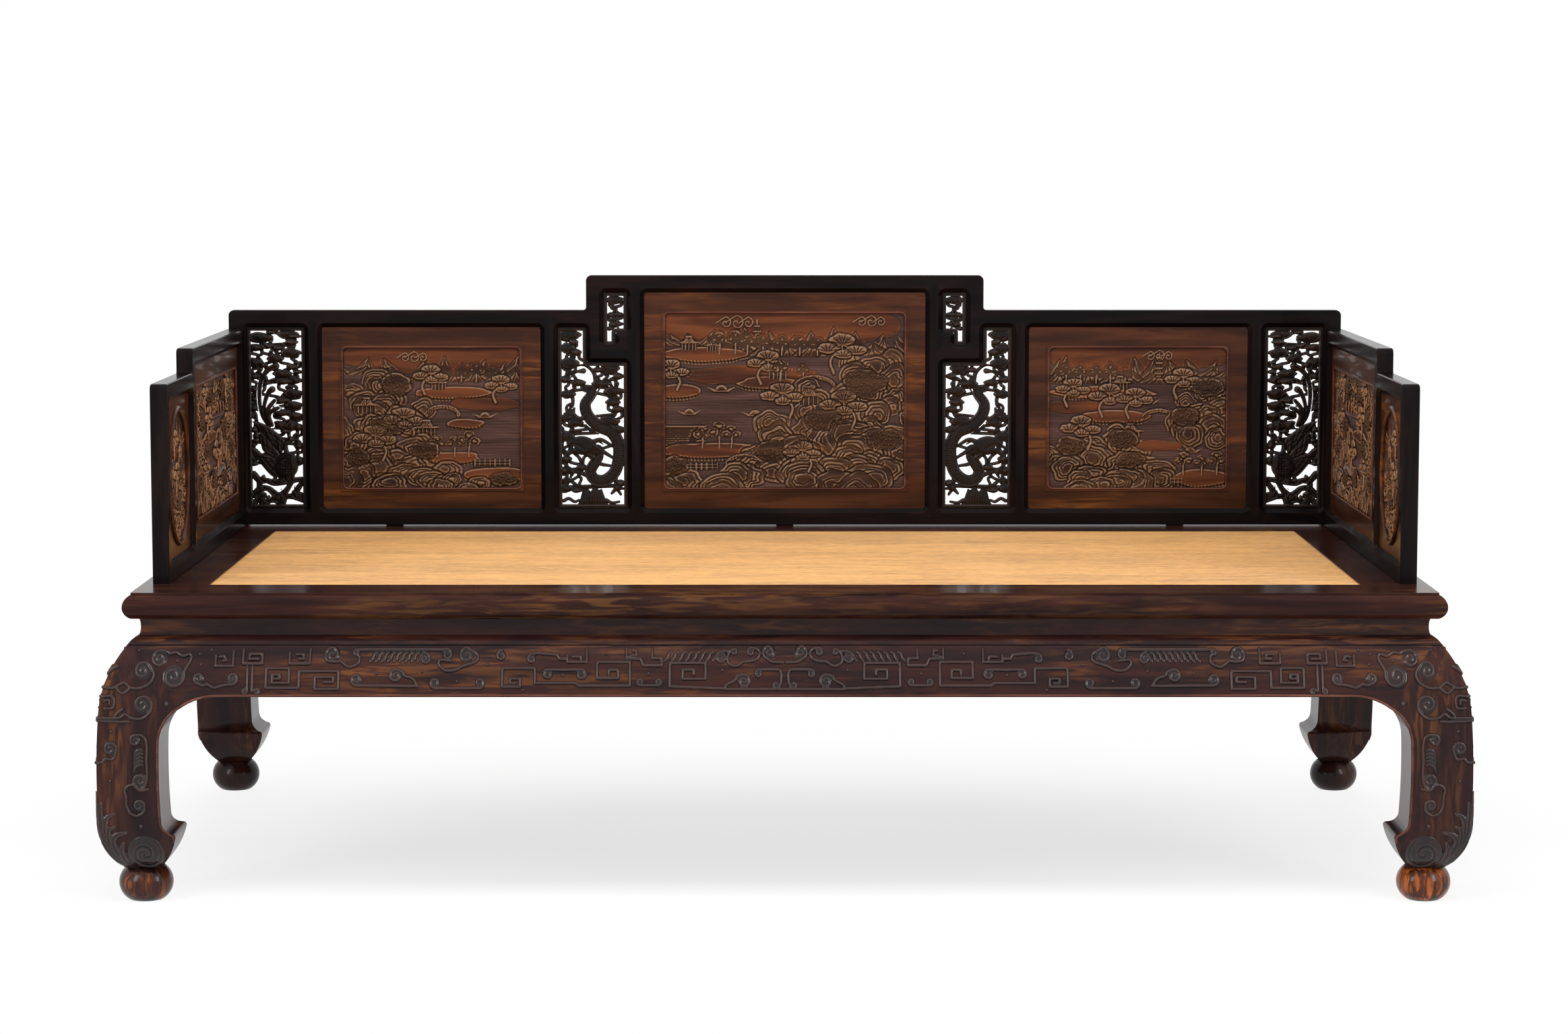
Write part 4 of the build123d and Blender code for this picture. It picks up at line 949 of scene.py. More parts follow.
@dataclass
class BaseCarving:
    """The scrolls, square keys and plumes on the outer faces of the aprons and legs."""

    step: float = 1.15
    band: float = 2.6
    rise: float = 3.3
    sunk: float = 0.3
    back: float = -0.9
    apron: tuple[float, float] = (344.0, 419.5)
    hoof_eye: tuple[float, float] = (-1035.5, 84.0)
    hoof_radius: float = 30.5
    face: BulgedFace = field(default_factory=BulgedFace)

    def scroll(self, carving: Carving, row: Any, shift: float = 0.0) -> None:
        """Draws a scroll with a low mound under its spiral.

        Args:
            carving: What it is drawn on.
            row: Its lead, the middle of its spiral and its turns.
            shift: How far it is moved along.
        """
        *lead, (x, z), turns = row
        moved, middle = [(u + shift, v) for u, v in lead], (x + shift, z)
        carving.dot(*middle, math.dist(moved[-1], middle), 0.42 * self.rise)
        carving.stroke(scroll(moved, middle, turns), (self.band, self.band, 0.62 * self.band), self.rise + self.sunk)

    def key(self, carving: Carving, row: Any, shift: float = 0.0) -> None:
        """Draws a line with a round top."""
        carving.stroke([(x + shift, z) for x, z in row], self.band, self.rise + self.sunk)

    def plumes(self, carving: Carving, row: Any, shift: float = 0.0) -> None:
        """Draws a row of slanting plumes that end in a curl.

        Args:
            carving: What they are drawn on.
            row: The row's ends, its top and its number of strokes.
            shift: How far it is moved along.
        """
        start, stop, top, count = row
        for x in np.linspace(start + shift, stop + shift, count):
            stroke = curve([(x + 8, top), (x + 3, top - 3), (x, top - 9), (x - 4, top - 14), (x - 6, top - 12)])
            carving.stroke(stroke, (1.4, 3.2, 2.6, 1.2), self.rise)
        curl = (stop + shift + 8, top - 10)
        carving.stroke(scroll([(curl[0] - 2, top - 1), (curl[0] + 4, top - 3)], curl, -1.5), 2.0, self.rise)

    def half_apron(self, half: float, side: bool) -> Carving:
        """Draws one half of an apron, from its left end to its middle.

        Args:
            half: Its length.
            side: Whether it is the shorter apron at the bed's end.

        Returns:
            The drawing.
        """
        carving = Carving((-half, self.apron[0]), (0, self.apron[1]), self.step, ground=-self.sunk)
        groups = ((-2000.0, -838.0, SEAT_HALF_LENGTH - SEAT_HALF_DEPTH), (-570.0, -478.0, 258.0),
                  (-192.0, 2000.0, 0.0)) if side else ((-2000.0, 2000.0, 0.0),)
        for low, high, shift in groups:
            for rows, draw, spot in ((APRON_SCROLLS, self.scroll, -2), (APRON_KEYS, self.key, 0)):
                for row in rows:
                    if low < row[spot][0] < high:
                        draw(carving, row, shift)
            for row in APRON_PLUMES:
                if low < row[0] < high:
                    self.plumes(carving, row, shift)
            for x, z in APRON_DOTS:
                if low < x < high:
                    carving.dot(x + shift, z, 2.5, self.rise)
        return carving

    def finish(self, name: str, carving: Carving, axis: int, sign: float) -> None:
        """Turns a drawing into a piece on the base.

        Args:
            name: The piece's name.
            carving: The drawing.
            axis: The axis that its side of the bed looks along.
            sign: Which way it looks.
        """
        carving.height = soften(carving.height)
        piece = shell(name, carving, self.face.on(axis, sign), self.back, flip=(sign > 0) == (axis == 1))
        grain = Grain.ALONG_Z if "leg" in name else (Grain.ALONG_Y, Grain.ALONG_X)[axis]
        mount(piece, "bed_base", CARVED_BASE_WOOD.material(grain))

    def draw_leg(self) -> Carving:
        """Draws a leg's face, with the outer corner on the left."""
        carving = Carving((-1114, 56), (-978, 419), self.step, ground=-self.sunk)
        for row in LEG_SCROLLS:
            self.scroll(carving, row)
        for row in LEG_CURVES:
            self.key(carving, curve(row))
        for x, z, radius in LEG_DOTS:
            carving.dot(x, z, radius, self.rise + 0.6)
        for z in range(0, -30, -6):
            lines = curve([(-1034, 254 + z), (-1040, 257 + z), (-1047, 252 + z), (-1050, 244 + z)])
            carving.stroke(lines, (1.2, 3.4, 1.0), self.rise)
        for row in HOOF_FEATHERS:
            carving.stroke(curve(row), (3.0, 6.0, 7.0, 5.0, 4.0), 4.6)
            carving.groove(curve(row), 1.3, 2.6, 4.0)
        (x, z), wide = self.hoof_eye, self.hoof_radius
        carving.dot(x, z, wide, 4.8)
        eye = scroll([(x - wide, z - 3), (x - 26, z + 16), (x, z + 29.5)], (x, z), -1.75)
        carving.groove(eye, (2.4, 2.8, 2.4, 1.6), 3.4, 4.2)
        corner = carving.u[None, :] + SEAT_HALF_LENGTH + self.face.bulge(carving.v)[:, None]
        carving.wood = np.minimum(carving.wood, corner + 1.6)
        return carving

    def build(self) -> None:
        """Carves the three sides that are seen."""
        front = self.half_apron(SEAT_HALF_LENGTH, False)
        self.finish("front_apron_carving_left", front.turned(1), 1, -1)
        self.finish("front_apron_carving_right", front.turned(-1), 1, -1)
        end = self.half_apron(SEAT_HALF_DEPTH, True).doubled()
        self.finish("left_apron_carving", end.turned(1), 0, -1)
        self.finish("right_apron_carving", end.turned(1), 0, 1)
        leg, across = self.draw_leg(), SEAT_HALF_LENGTH - SEAT_HALF_DEPTH
        for name, axis, sign, way in (("front_left", 1, -1, 1), ("front_right", 1, -1, -1), ("left_front", 0, -1, 1),
                                      ("left_rear", 0, -1, -1), ("right_front", 0, 1, 1), ("right_rear", 0, 1, -1)):
            self.finish(name + "_leg_carving", leg.turned(way, 0 if axis else across), axis, sign)


# ---- pierced boards

# Clouds: the middle, length and height of each, from the lower left corner of the board's field.
PHOENIX_CLOUDS = table("""
25 323 39 14; 48 332 20 7; 77 328 33 14; 90 324 22 7; 40 306 20 9; 18 303 28 11; 60 302 17 8; 84 313 20 9;
82 293 33 14; 13 275 24 14; 53 282 26 14; 95 274 13 5; 84 267 17 9; 66 254 31 11; 95 257 15 7; 31 270 13 7;
15 249 17 9; 13 225 20 10; 38 236 17 5; 90 241 22 11; 69 239 28 9; 14 206 13 5; 86 217 31 13; 62 203 28 10;
14 189 17 9; 87 195 28 11; 62 180 31 11; 90 175 24 10; 60 157 28 13; 84 155 24 14; 96 153 15 11; 12 148 13 8;
15 128 13 5; 96 118 17 11; 97 89 15 14; 12 84 13 7; 71 145 17 7""")
DRAGON_CLOUDS = table("""
23 327 35 16; 30 313 14 11; 18 302 22 16; 35 294 16 11; 22 274 30 16; 98 264 30 16; 76 261 19 8; 114 249 16 11;
106 221 33 13; 38 237 24 11; 19 215 24 13; 81 235 30 11; 103 200 24 11; 113 187 19 11; 95 164 35 16; 22 171 30 13;
114 148 22 13; 16 136 24 16; 14 243 16 11; 45 77 19 11; 16 93 16 11; 14 37 22 13; 118 47 14 11; 33 161 24 13;
11 71 14 11; 35 34 19 8""")
SMALL_CLOUDS = table("""
22.7 84.3 30 13.4; 15.1 56.6 14 7.7; 29.4 57.6 14 7.2; 29.4 39.6 14 7.2; 18 38.6 14 9.2; 12.2 30.9 12 6.2""")
# The creatures' lines and outlines, from the same corner: the phoenix's and then the dragon's.
PLUMES = table("""
40,153 27,175 22,207 25,239 38,260 54,268; 41,155 31,184 33,203 40,219 46,224; 43,156 36,180 41,192 50,203;
46,156 40,175 49,186 57,189""")
HIGH_WING = table("""
7,164 18,163 34,157 47,148 64,134 69,125 64,107 58,96 47,98 29,107 24,121 22,139 18,155""")[0]
LOW_WING = table("""
7,115 16,112 25,103 38,109 53,103 62,87 60,66 51,57 38,66 23,84 13,98""")[0]
BREAST = table("""
53,93 69,103 84,103 92,91 93,75 86,62 71,58 56,62 47,75""")[0]
NECK = table("""
83,78 73,100 70,118 75,129 83,131""")[0]
BRANCHES = table("""
9,64 21,52 34,52 47,48 62,50 80,52 99,55; 9,25 21,37 36,37 45,30 56,23 69,32 80,48; 9,10 21,18 29,25;
62,8 69,21 84,23 88,30 101,50; 25,8 47,16 62,9; 60,62 66,50; 80,62 81,52; 21,52 19,37; 84,23 103,14; 88,27 103,24""")
TAILS = table("""
14,251 27,264 44,270 57,266 68,254 72,235; 23,246 35,257 48,259""")
SPINE = table("""
72,235 60,214 50,196 56,174 76,155 100,144 113,122 114,96 106,69 87,53 68,55 61,70 71,88 76,101 58,114""")[0]
HEAD = table("""
16,128 27,133 46,136 65,129 69,114 54,102 38,102 23,109 31,116 16,120""")[0]
LIMBS = table("""
65,125 81,129 102,117; 68,117 87,105 103,95; 54,104 76,85 98,80; 25,132 12,139 8,152; 25,108 14,98 10,85;
54,174 38,168 27,179 12,178; 27,179 22,187; 27,179 30,188; 65,57 44,66 27,69 10,63; 27,69 19,77; 27,69 23,59;
106,66 110,39 117,26; 110,39 100,28; 110,39 121,37; 76,155 65,147 52,152""")
ROCK = table("""
35,5 41,18 45,34 54,39 60,31 68,43 76,34 81,37 87,20 94,5""")[0]
WAVES = table("""
10,14 19,18 30,12 38,15; 90,15 100,10 114,12; 14,53 25,50 35,37""")
WHOLE_FIELD = ((0, 0), (1, 0), (1, 1), (0, 1))
NOTCHED_FIELD = ((0, 0), (1, 0), (1, 0.8068), (0.4138, 0.8068), (0.4138, 1), (0, 1))
CLOUD_FIELD = ((0, 0), (0.4944, 0), (0.4944, 0.2424), (1, 0.2424), (1, 1), (0, 1))


@dataclass
class PiercedBoard:
    """A board sawn through in clouds and a creature, carved on both faces."""

    node: str
    name: str
    clouds: Any
    low: tuple[float, float]
    size: tuple[float, float]
    outline: Any = WHOLE_FIELD
    step: float = 1.15
    border: float = 7.0
    depth: float = 3.2
    face: float = 496.0
    thickness: float = 13.0
    sheet: Carving = field(init=False)

    def __post_init__(self) -> None:
        """Starts with an empty board."""
        self.sheet = Carving((0, 0), self.size, self.step, ground=-self.depth)

    def draw_cloud(self, u: float, v: float, length: float, height: float) -> None:
        """Draws one lens-shaped cloud with a rim and a curl.

        Args:
            u: The cloud's middle across the board.
            v: Its middle up the board.
            length: Its length.
            height: Its height.
        """
        t = np.linspace(0, math.tau, 28, endpoint=False)
        swell = np.sign(np.sin(t)) * np.abs(np.sin(t)) ** 1.5
        outline = np.stack([u + 0.64 * length * np.cos(t), v + 0.63 * height * swell * (1 + 0.14 * np.cos(3 * t))], -1)
        self.sheet.area(outline, 1.2 - self.depth, rise=1.5, rings=1.0, pitch=3.0, moat=1.0)
        inner = outline * 0.64 + np.array([u, v]) * 0.36
        self.sheet.score(np.vstack([inner, inner[:1]]), 1.5, 1.1)
        curl = max(1.8, 0.20 * height)
        self.sheet.stroke(scroll([(u - 1.8 * curl, v), (u, v + curl)], (u, v), -1.1, 0.4), 1.0, 1.0, 2.2 - self.depth)

    def draw_clouds(self) -> None:
        """Draws every cloud, each tied to its neighbours by curling stems."""
        rows = np.array(self.clouds, float)
        for number, (u, v, length, height) in enumerate(rows):
            gaps = np.hypot((rows[:, 0] - u) * 0.8, rows[:, 1] - v)
            for other in [i for i in np.argsort(gaps) if rows[i, 1] < v - 3][:2 + number % 2]:
                end = rows[other, :2]
                lean = 0.30 * length * (1 if end[0] < u else -1)
                middle = (u + end[0]) / 2 + 0.5 * lean, (v + end[1]) / 2
                path = curve([(u - lean, v), (u - 1.2 * lean, v - 0.35 * (v - end[1])), middle,
                              (end[0] + 0.8 * lean, end[1] + 0.3 * (v - end[1])), tuple(end)])
                self.sheet.stroke(path, (3.4, 2.7, 3.2), 2.2)
                self.sheet.score(path, 1.3, 0.8)
        for row in rows:
            self.draw_cloud(*row)

    def draw_wing(self, outline: Any, root: Points, tips: int, level: float) -> None:
        """Draws a wing and cuts its feathers.

        Args:
            outline: The wing's outline.
            root: Where its feathers start.
            tips: How many feathers there are.
            level: How high it stands.
        """
        edge = np.asarray(outline, float)
        self.sheet.area(rounded(edge), level, rise=0.5, rings=1.5)
        for end in edge[np.linspace(0, len(edge) - 1, tips).astype(int)]:
            self.sheet.score([root, end], 1.3, 1.1)
        for share in (0.42, 0.68):
            self.sheet.score(curve(np.asarray(root) + (edge - root) * share), 1.3, 1.0)

    def draw_phoenix(self) -> None:
        """Draws the bird: plumes, wings, breast and neck, on its branches."""
        sheet, top = self.sheet, 1.9 - self.depth
        for row in BRANCHES:
            sheet.stroke(curve(row), (6.4, 5.0, 6.8, 4.4), 2.5)
            sheet.score(curve(row), 1.4, 1.0)
        for number, row in enumerate(BRANCHES[:5]):
            for share in (0.25, 0.55, 0.8):
                u, v = curve(row)[int(share * 6 * (len(row) - 1))]
                leaf = [(u, v), (u + 4 - 8 * (number % 2), v + 6), (u + 1, v + 12), (u - 5, v + 7)]
                sheet.area(rounded(leaf, 4), 2.2 - self.depth, rise=0.6, edge=1.6, rings=1.0, moat=0.8)
                sheet.score([leaf[0], leaf[2]], 1.2, 0.8)
        for row in PLUMES:
            sheet.clear(curve(row), 5.0)
        for row, tip in zip(PLUMES, (6.2, 6.2, 3.4, 3.4)):
            sheet.stroke(curve(row), (2.4, 3.2, 4.0, tip), 2.9)
            sheet.score(curve(row), 1.4, 1.2)
        sheet.area(HIGH_WING, top, moat=1.4)
        sheet.area(LOW_WING, top, moat=1.4)
        self.draw_wing(HIGH_WING, (60, 104), 13, top)
        self.draw_wing(LOW_WING, (58, 92), 11, top + 0.3)
        sheet.area(rounded(BREAST), top + 0.3, rise=0.9, edge=2.0, rings=2.0, pitch=5.0)
        for v in range(64, 102, 5):
            for u in range(56, 92, 5):
                barb = curve([(u + v % 2 * 2, v), (u + 2.4, v - 1.8), (u + 4.6, v)], 4)
                sheet.groove(barb, 0.6, 0.6, top + 0.9)
        sheet.stroke(curve(NECK), (7.5, 4.6, 3.6, 4.4), 3.2)
        sheet.dot(81, 130, 4.6, 3.2)
        sheet.stroke([(83, 131), (89, 128)], (2.4, 0.9), 2.6)
        for v in np.arange(84, 126, 3.4):
            sheet.groove([(67, v - 1), (79, v + 1.2)], 0.5, 0.5, top + 0.8)

    def draw_dragon(self) -> None:
        """Draws the dragon: a scaled coil, its head, claws and horns, over rocks and waves."""
        sheet, top = self.sheet, -self.depth
        sheet.area(ROCK, top + 0.8, rise=1.2, rings=1.5)
        for u in range(42, 92, 5):
            sheet.groove(curve([(u, 6), (u + 1.5, 16), (u - 1, 30)], 4), 0.8, 0.8, top + 1.8)
        for row in WAVES:
            sheet.stroke(curve(row), (3.4, 2.2), 2.0)
        for row in TAILS:
            sheet.stroke(curve(row), (1.2, 2.0, 5.0), 2.6)
        path = curve(SPINE)
        sheet.clear(path[10:-14], 12.4)
        for row in LIMBS:
            sheet.stroke(curve(row), (4.8, 3.6, 2.4), 2.8)
            sheet.score(curve(row), 1.3, 0.7)
        sheet.stroke(path, (5.6, 10.0, 11.6, 11.6, 10.6, 9.4, 7.4), 3.1)
        way = np.gradient(path, axis=0)
        way /= np.hypot(*way.T)[:, None]
        across = way[:, ::-1] * (-1, 1)
        for number in range(3, len(path) - 4):
            for row in (-1, 0, 1):
                middle = path[number] + across[number] * (4.6 * row + 2.3 * (number % 2))
                scale = [middle - across[number] * 2.4, middle + way[number] * 1.9, middle + across[number] * 2.4]
                sheet.score(curve(scale, 4), 1.5, 0.9)
        sheet.stroke(path + across * 9.8, 1.6, 1.5, top + 1.2)
        sheet.area(rounded(HEAD), top + 2.1, rise=1.0, rings=1.0)
        sheet.dot(45, 124, 2.4, 0.9, top + 2.6)
        sheet.groove(curve([(22, 122), (34, 121), (50, 112)]), 0.9, 1.2, top + 2.4)
        for v in (104, 110, 116, 123):
            sheet.stroke(curve([(62, v), (74, v + 3), (84, v - 2)]), (1.8, 0.8), 2.4)

    def draw_stems(self) -> None:
        """Draws the two stems of a small board."""
        self.sheet.stroke(curve([(19, 84), (14, 70), (24, 64), (26, 57)]), 1.8, 1.7)
        self.sheet.stroke(curve([(24, 57), (28, 48), (24, 40), (30, 28), (36, 24)]), 1.8, 1.7)

    def build(self, mirror: bool, creature: Callable[[], None]) -> None:
        """Carves the board and puts it in its node's place.

        Args:
            mirror: Whether it is the right board of its pair.
            creature: What draws its main figure.
        """
        self.draw_clouds()
        creature()
        sheet = self.sheet
        spot, depth = sheet.depth(np.asarray(self.outline, float) * self.size, 40.0)
        full = np.full(sheet.wood.shape, -9.0)
        full[spot] = depth
        ring = fade((self.border + 0.9 - full) / 1.8)
        sheet.height = soften(sheet.height) * (1 - ring) + ring * -0.1
        sheet.wood = np.minimum(np.maximum(sheet.wood, self.border - full), full + 0.8)
        sheet.v = sheet.v + self.low[1]
        sheet.u = sheet.u + self.low[0]
        piece = shell(self.name, sheet.turned(-1 if mirror else 1), flat_face(1, self.face, -1), -self.thickness,
                      mirrored=True)
        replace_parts(mount(piece, "rear_railing", OPENWORK_WOOD.material(Grain.ALONG_Z)), self.node)


def build_openworks() -> None:
    """Makes the four large pierced boards and the two small ones."""
    halves = (("left", False), ("right", True))
    for side, mirror in halves:
        bird = PiercedBoard(f"rear_{side}_phoenix_openwork", f"{side}_phoenix_board", PHOENIX_CLOUDS, (-1009.5, 537.3),
                            (109.5, 341.7))
        bird.build(mirror, bird.draw_phoenix)
        dragon = PiercedBoard(f"rear_{side}_dragon_openwork", f"{side}_dragon_board", DRAGON_CLOUDS, (-426, 537.3),
                              (130.5, 341.7), NOTCHED_FIELD)
        dragon.build(mirror, dragon.draw_dragon)
    for side, mirror in halves:
        clouds = PiercedBoard("rear_cloud_openworks", f"{side}_cloud_board", SMALL_CLOUDS, (-340, 845), (44.5, 99),
                              CLOUD_FIELD, step=0.8)
        clouds.build(mirror, clouds.draw_stems)


# ---- repeated and path-following pieces


def build_bead_tree() -> Tree:
    """Builds the tree that sets a small round bead on every point, as large as the point's own size."""
    graph, given, result = new_group("Geometry", "carved beads", {
        "Geometry": "Geometry", "Flatness": 0.8, "Material": "Material"}, {"Geometry": "Geometry"})
    bead = graph.add("GeometryNodeMeshUVSphere", {"Radius": 1.0, "Segments": 8, "Rings": 5}).outputs[0]
    size = graph.add("GeometryNodeInputNamedAttribute", {"Name": "size"}, data_type="FLOAT").outputs[0]
    points = graph.add("GeometryNodeMeshToPoints", {"Mesh": given["Geometry"]}).outputs[0]
    scale = graph.add("ShaderNodeCombineXYZ", {0: size, 1: graph.times(size, given["Flatness"]), 2: size}).outputs[0]
    placed = graph.add("GeometryNodeInstanceOnPoints", {"Points": points, "Instance": bead, "Scale": scale}).outputs[0]
    return finish_tree(graph, placed, given, result)


def build_moulding_tree() -> Tree:
    """Builds the tree that runs a round moulding along a line."""
    graph, given, result = new_group("Geometry", "edge moulding", {
        "Geometry": "Geometry", "Radius": 0.002, "Sides": 8, "Spacing": 0.004, "Material": "Material"},
        {"Geometry": "Geometry"})
    drawn = graph.add("GeometryNodeMeshToCurve", {"Mesh": given["Geometry"]}).outputs[0]
    line = graph.add("GeometryNodeResampleCurve", {"Curve": drawn, "Length": given["Spacing"]}, mode="LENGTH")
    ring = graph.add("GeometryNodeCurvePrimitiveCircle", {"Resolution": given["Sides"], "Radius": given["Radius"]})
    tube = graph.add("GeometryNodeCurveToMesh", {"Curve": line.outputs[0], "Profile Curve": ring.outputs[0],
                                                 "Fill Caps": True}).outputs[0]
    return finish_tree(graph, tube, given, result)


def finish_tree(graph: Graph, shape: Socket, given: Any, result: Any) -> Tree:
    """Ends a geometry tree in a real, dressed mesh.

    Args:
        graph: The tree's graph.
        shape: The geometry so far.
        given: The tree's inputs.
        result: The tree's outputs.

    Returns:
        The tree.
    """
    whole = graph.add("GeometryNodeRealizeInstances", {0: shape}).outputs[0]
    dressed = graph.add("GeometryNodeSetMaterial", {"Geometry": whole, "Material": given["Material"]}).outputs[0]
    graph.feed(result, {0: dressed})
    return graph.tree


def grown(source: Piece, name: str, tree: Tree, **sizes: Any) -> Piece:
    """Grows a plain mesh from points or lines.

    Args:
        source: The piece that holds them, which is removed.
        name: The new piece's name.
        tree: The geometry tree.
        **sizes: The tree's named inputs.

    Returns:
        The new piece.
    """
    modifier = source.modifiers.new(tree.name, "NODES")
    modifier.node_group = tree
    for item in tree.interface.items_tree:
        if item.item_type == "SOCKET" and item.in_out == "INPUT" and item.name in sizes:
            modifier[item.identifier] = sizes[item.name]
    mesh = bpy.data.meshes.new_from_object(source.evaluated_get(bpy.context.evaluated_depsgraph_get()))
    bpy.data.objects.remove(source)
    mesh.name = name
    mesh.shade_smooth()
    made = bpy.data.objects.new(name, mesh)
    bpy.context.collection.objects.link(made)
    return made


@dataclass
class EdgeBeads:
    """Thin rubbed beads round the base's openings and the boards' fields, lighter to paint a highlight line."""

    tree: Tree
    radius: float = 0.0019
    inset: float = 0.0026
    hub_level: float = 0.20
    hub_inset: float = 0.26
    reach: float = 0.40
    foot_angle: float = math.radians(214)
    corner: float = 8.0
    collar_level: float = 420.3
    collar_radius: float = 0.0011

    def bead(self, name: str, path: np.ndarray, closed: bool, body: str, slot: str, finish: WoodFinish = EDGE_HIGHLIGHT_WOOD,
             radius: float | None = None) -> None:
        """Runs a round bead along a line.

        Args:
            name: The piece's name.
            path: The line's points, in metres.
            closed: Whether the line joins up.
            body: The body that it rides on.
            slot: Not used.
            finish: Its wood.
            radius: Its radius, where it isn't the usual one.
        """
        count = len(path)
        edges = [(i, (i + 1) % count) for i in range(count if closed else count - 1)]
        line = mesh_of(name + "_line", path, [], edges)
        piece = grown(line, name, self.tree, Radius=radius or self.radius, Sides=8, Spacing=0.004,
                      Material=finish.material(Grain.ALONG_X))
        mount(piece, body)

    def opening(self, axis: int, sign: float, names: tuple[str, str, str]) -> np.ndarray:
        """Follows the lower edge of an apron and the inner edges of its legs.

        Args:
            axis: The axis that the side looks along.
            sign: Which way it looks.
            names: The first leg, the apron and the last leg.

        Returns:
            The line's points.
        """
        points: list[Any] = []
        faces: list[list[int]] = []
        for node in names:
            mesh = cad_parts[node].data
            faces += [[len(points) + corner for corner in face.vertices] for face in mesh.polygons]
            points += [tuple(corner.co) for corner in mesh.vertices]
        surface = BVHTree.FromPolygons(points, faces)
        hub = self.hub_inset - (SEAT_HALF_DEPTH, SEAT_HALF_LENGTH)[axis] * MM
        outside = (SEAT_HALF_LENGTH, SEAT_HALF_DEPTH)[axis] * MM - 0.03
        ahead = [0.0, 0.0, 0.0]
        ahead[axis] = -sign

        def hit(reach: float, angle: float) -> tuple[float, float, float] | None:
            """Finds the outer face at a distance from the hub, if it is there."""
            u, v = hub + reach * math.cos(angle), self.hub_level + reach * math.sin(angle)
            start = [u, u, v]
            start[axis] = 2.0 * sign
            place = surface.ray_cast(Vector(start), Vector(ahead))[0]
            return None if place is None or place[axis] * sign < outside else (place[axis], u, v)

        left = []
        for angle in np.linspace(self.foot_angle, math.pi / 2, 56):
            near, far = 0.0, self.reach
            for _ in range(16):
                middle = (near + far) / 2
                near, far = (middle, far) if hit(middle, angle) is None else (near, middle)
            left.append(hit(far + self.inset, angle))
        out, u, v = np.array([place for place in left if place]).T
        halves = ((out, 1), (u, -1), (v, 1))
        return upright(axis, *(np.concatenate([value, way * value[::-1]]) for value, way in halves))

    def field(self, board: "LandscapeBoard") -> np.ndarray:
        """Draws a rounded frame round a carved field.

        Args:
            board: The board that holds the field.

        Returns:
            The line's points.
        """
        (left, low), (right, high) = np.array(board.low) - 1.5, np.array(board.high) + 1.5
        line = []
        for number, (u, v, x, z) in enumerate(((right, high, 1, 1), (left, high, -1, 1), (left, low, -1, -1),
                                               (right, low, 1, -1))):
            centre = np.array([u, v]) - self.corner * np.array([x, z])
            for angle in np.linspace(0, math.pi / 2, 6) + number * math.pi / 2:
                line.append(centre + self.corner * np.array([math.cos(angle), math.sin(angle)]))
        u, v = np.array(line).T
        return upright(board.axis, np.full(len(u), board.ground + board.sign * 5.2), u, v) * MM

    def collar(self) -> np.ndarray:
        """Draws the line round the base between its collar and its aprons."""
        stand = BulgedFace().bulge(np.array([self.collar_level]))[0] - 0.3
        x, y = SEAT_HALF_LENGTH + stand, SEAT_HALF_DEPTH + stand
        return np.array([(i * x, j * y, self.collar_level) for i, j in ((-1, -1), (1, -1), (1, 1), (-1, 1))]) * MM

    def build(self) -> None:
        """Lays every bead."""
        self.bead("collar_line", self.collar(), True, "bed_base", "base_wood", RAILING_WOOD, self.collar_radius)
        for name, axis, sign, first, last in (
                ("front", 1, -1, "front_left", "front_right"), ("rear", 1, 1, "rear_left", "rear_right"),
                ("left", 0, -1, "front_left", "rear_left"), ("right", 0, 1, "front_right", "rear_right")):
            path = self.opening(axis, sign, ("leg_" + first, "apron_" + name, "leg_" + last))
            self.bead(f"{name}_opening_bead", path, False, "bed_base", "base_wood")
        for board in LANDSCAPES:
            if not board.oval:
                self.bead(board.name + "_bead", self.field(board), True, board.body, "panel_wood")


# ---- carved landscapes

# The tints of rock and of bare shore. Water has none.
WOOD_ROCK, PLAIN = 1.0, 2.0

# Each view lists its features, far ones first: the kind, its place across and up the board from 0 to 1, its size in
# millimetres and, for some, how many parts it has.
CENTRE_VIEW = table("""
plain .45 .93 480 90; hills .66 .8 290 50 8; hills .15 .84 110 30 4; cloud .3 .945 70; cloud .86 .95 60;
pagoda .385 .8 18 44; grove .6 .765 170 34 6; bank .16 .765 170 26; hut .1 .79 34; hut .2 .785 26;
grove .29 .775 56 40 3; plain .36 .645 250 34; ripples .12 .66 110 4; crag .86 .64 130 96 7;
tree .705 .68 78; bank .44 .6 120 24; hut .47 .625 40; tree .4 .615 66; grove .53 .62 44 40 2;
bridge .625 .575 74; bank .05 .555 90 26; tree .05 .58 60; ripples .25 .54 150 5; boat .235 .55 54;
crag .72 .47 150 78 7; crag .93 .42 100 110 7; foliage .835 .6 84 52 120; hut .6 .475 46; tree .52 .42 70;
boat .1 .42 46; ripples .3 .38 170 5; boat .375 .41 50; crag .58 .28 150 76 7; foliage .665 .4 76 44 90;
crag .86 .2 150 96 8; tree .78 .36 76; wall .075 .24 84 36; bank .19 .215 190 30; grove .215 .235 60 48 3;
ripples .33 .19 60 3; crag .47 .1 150 64 7; bridge .33 .13 66; foliage .44 .21 64 36 70;
crag .72 .06 190 62 8; foliage .915 .28 70 40 80; crag .12 .03 180 56 7; fence .14 .115 70;
foliage .04 .13 50 34 50; tree .6 .11 60""")
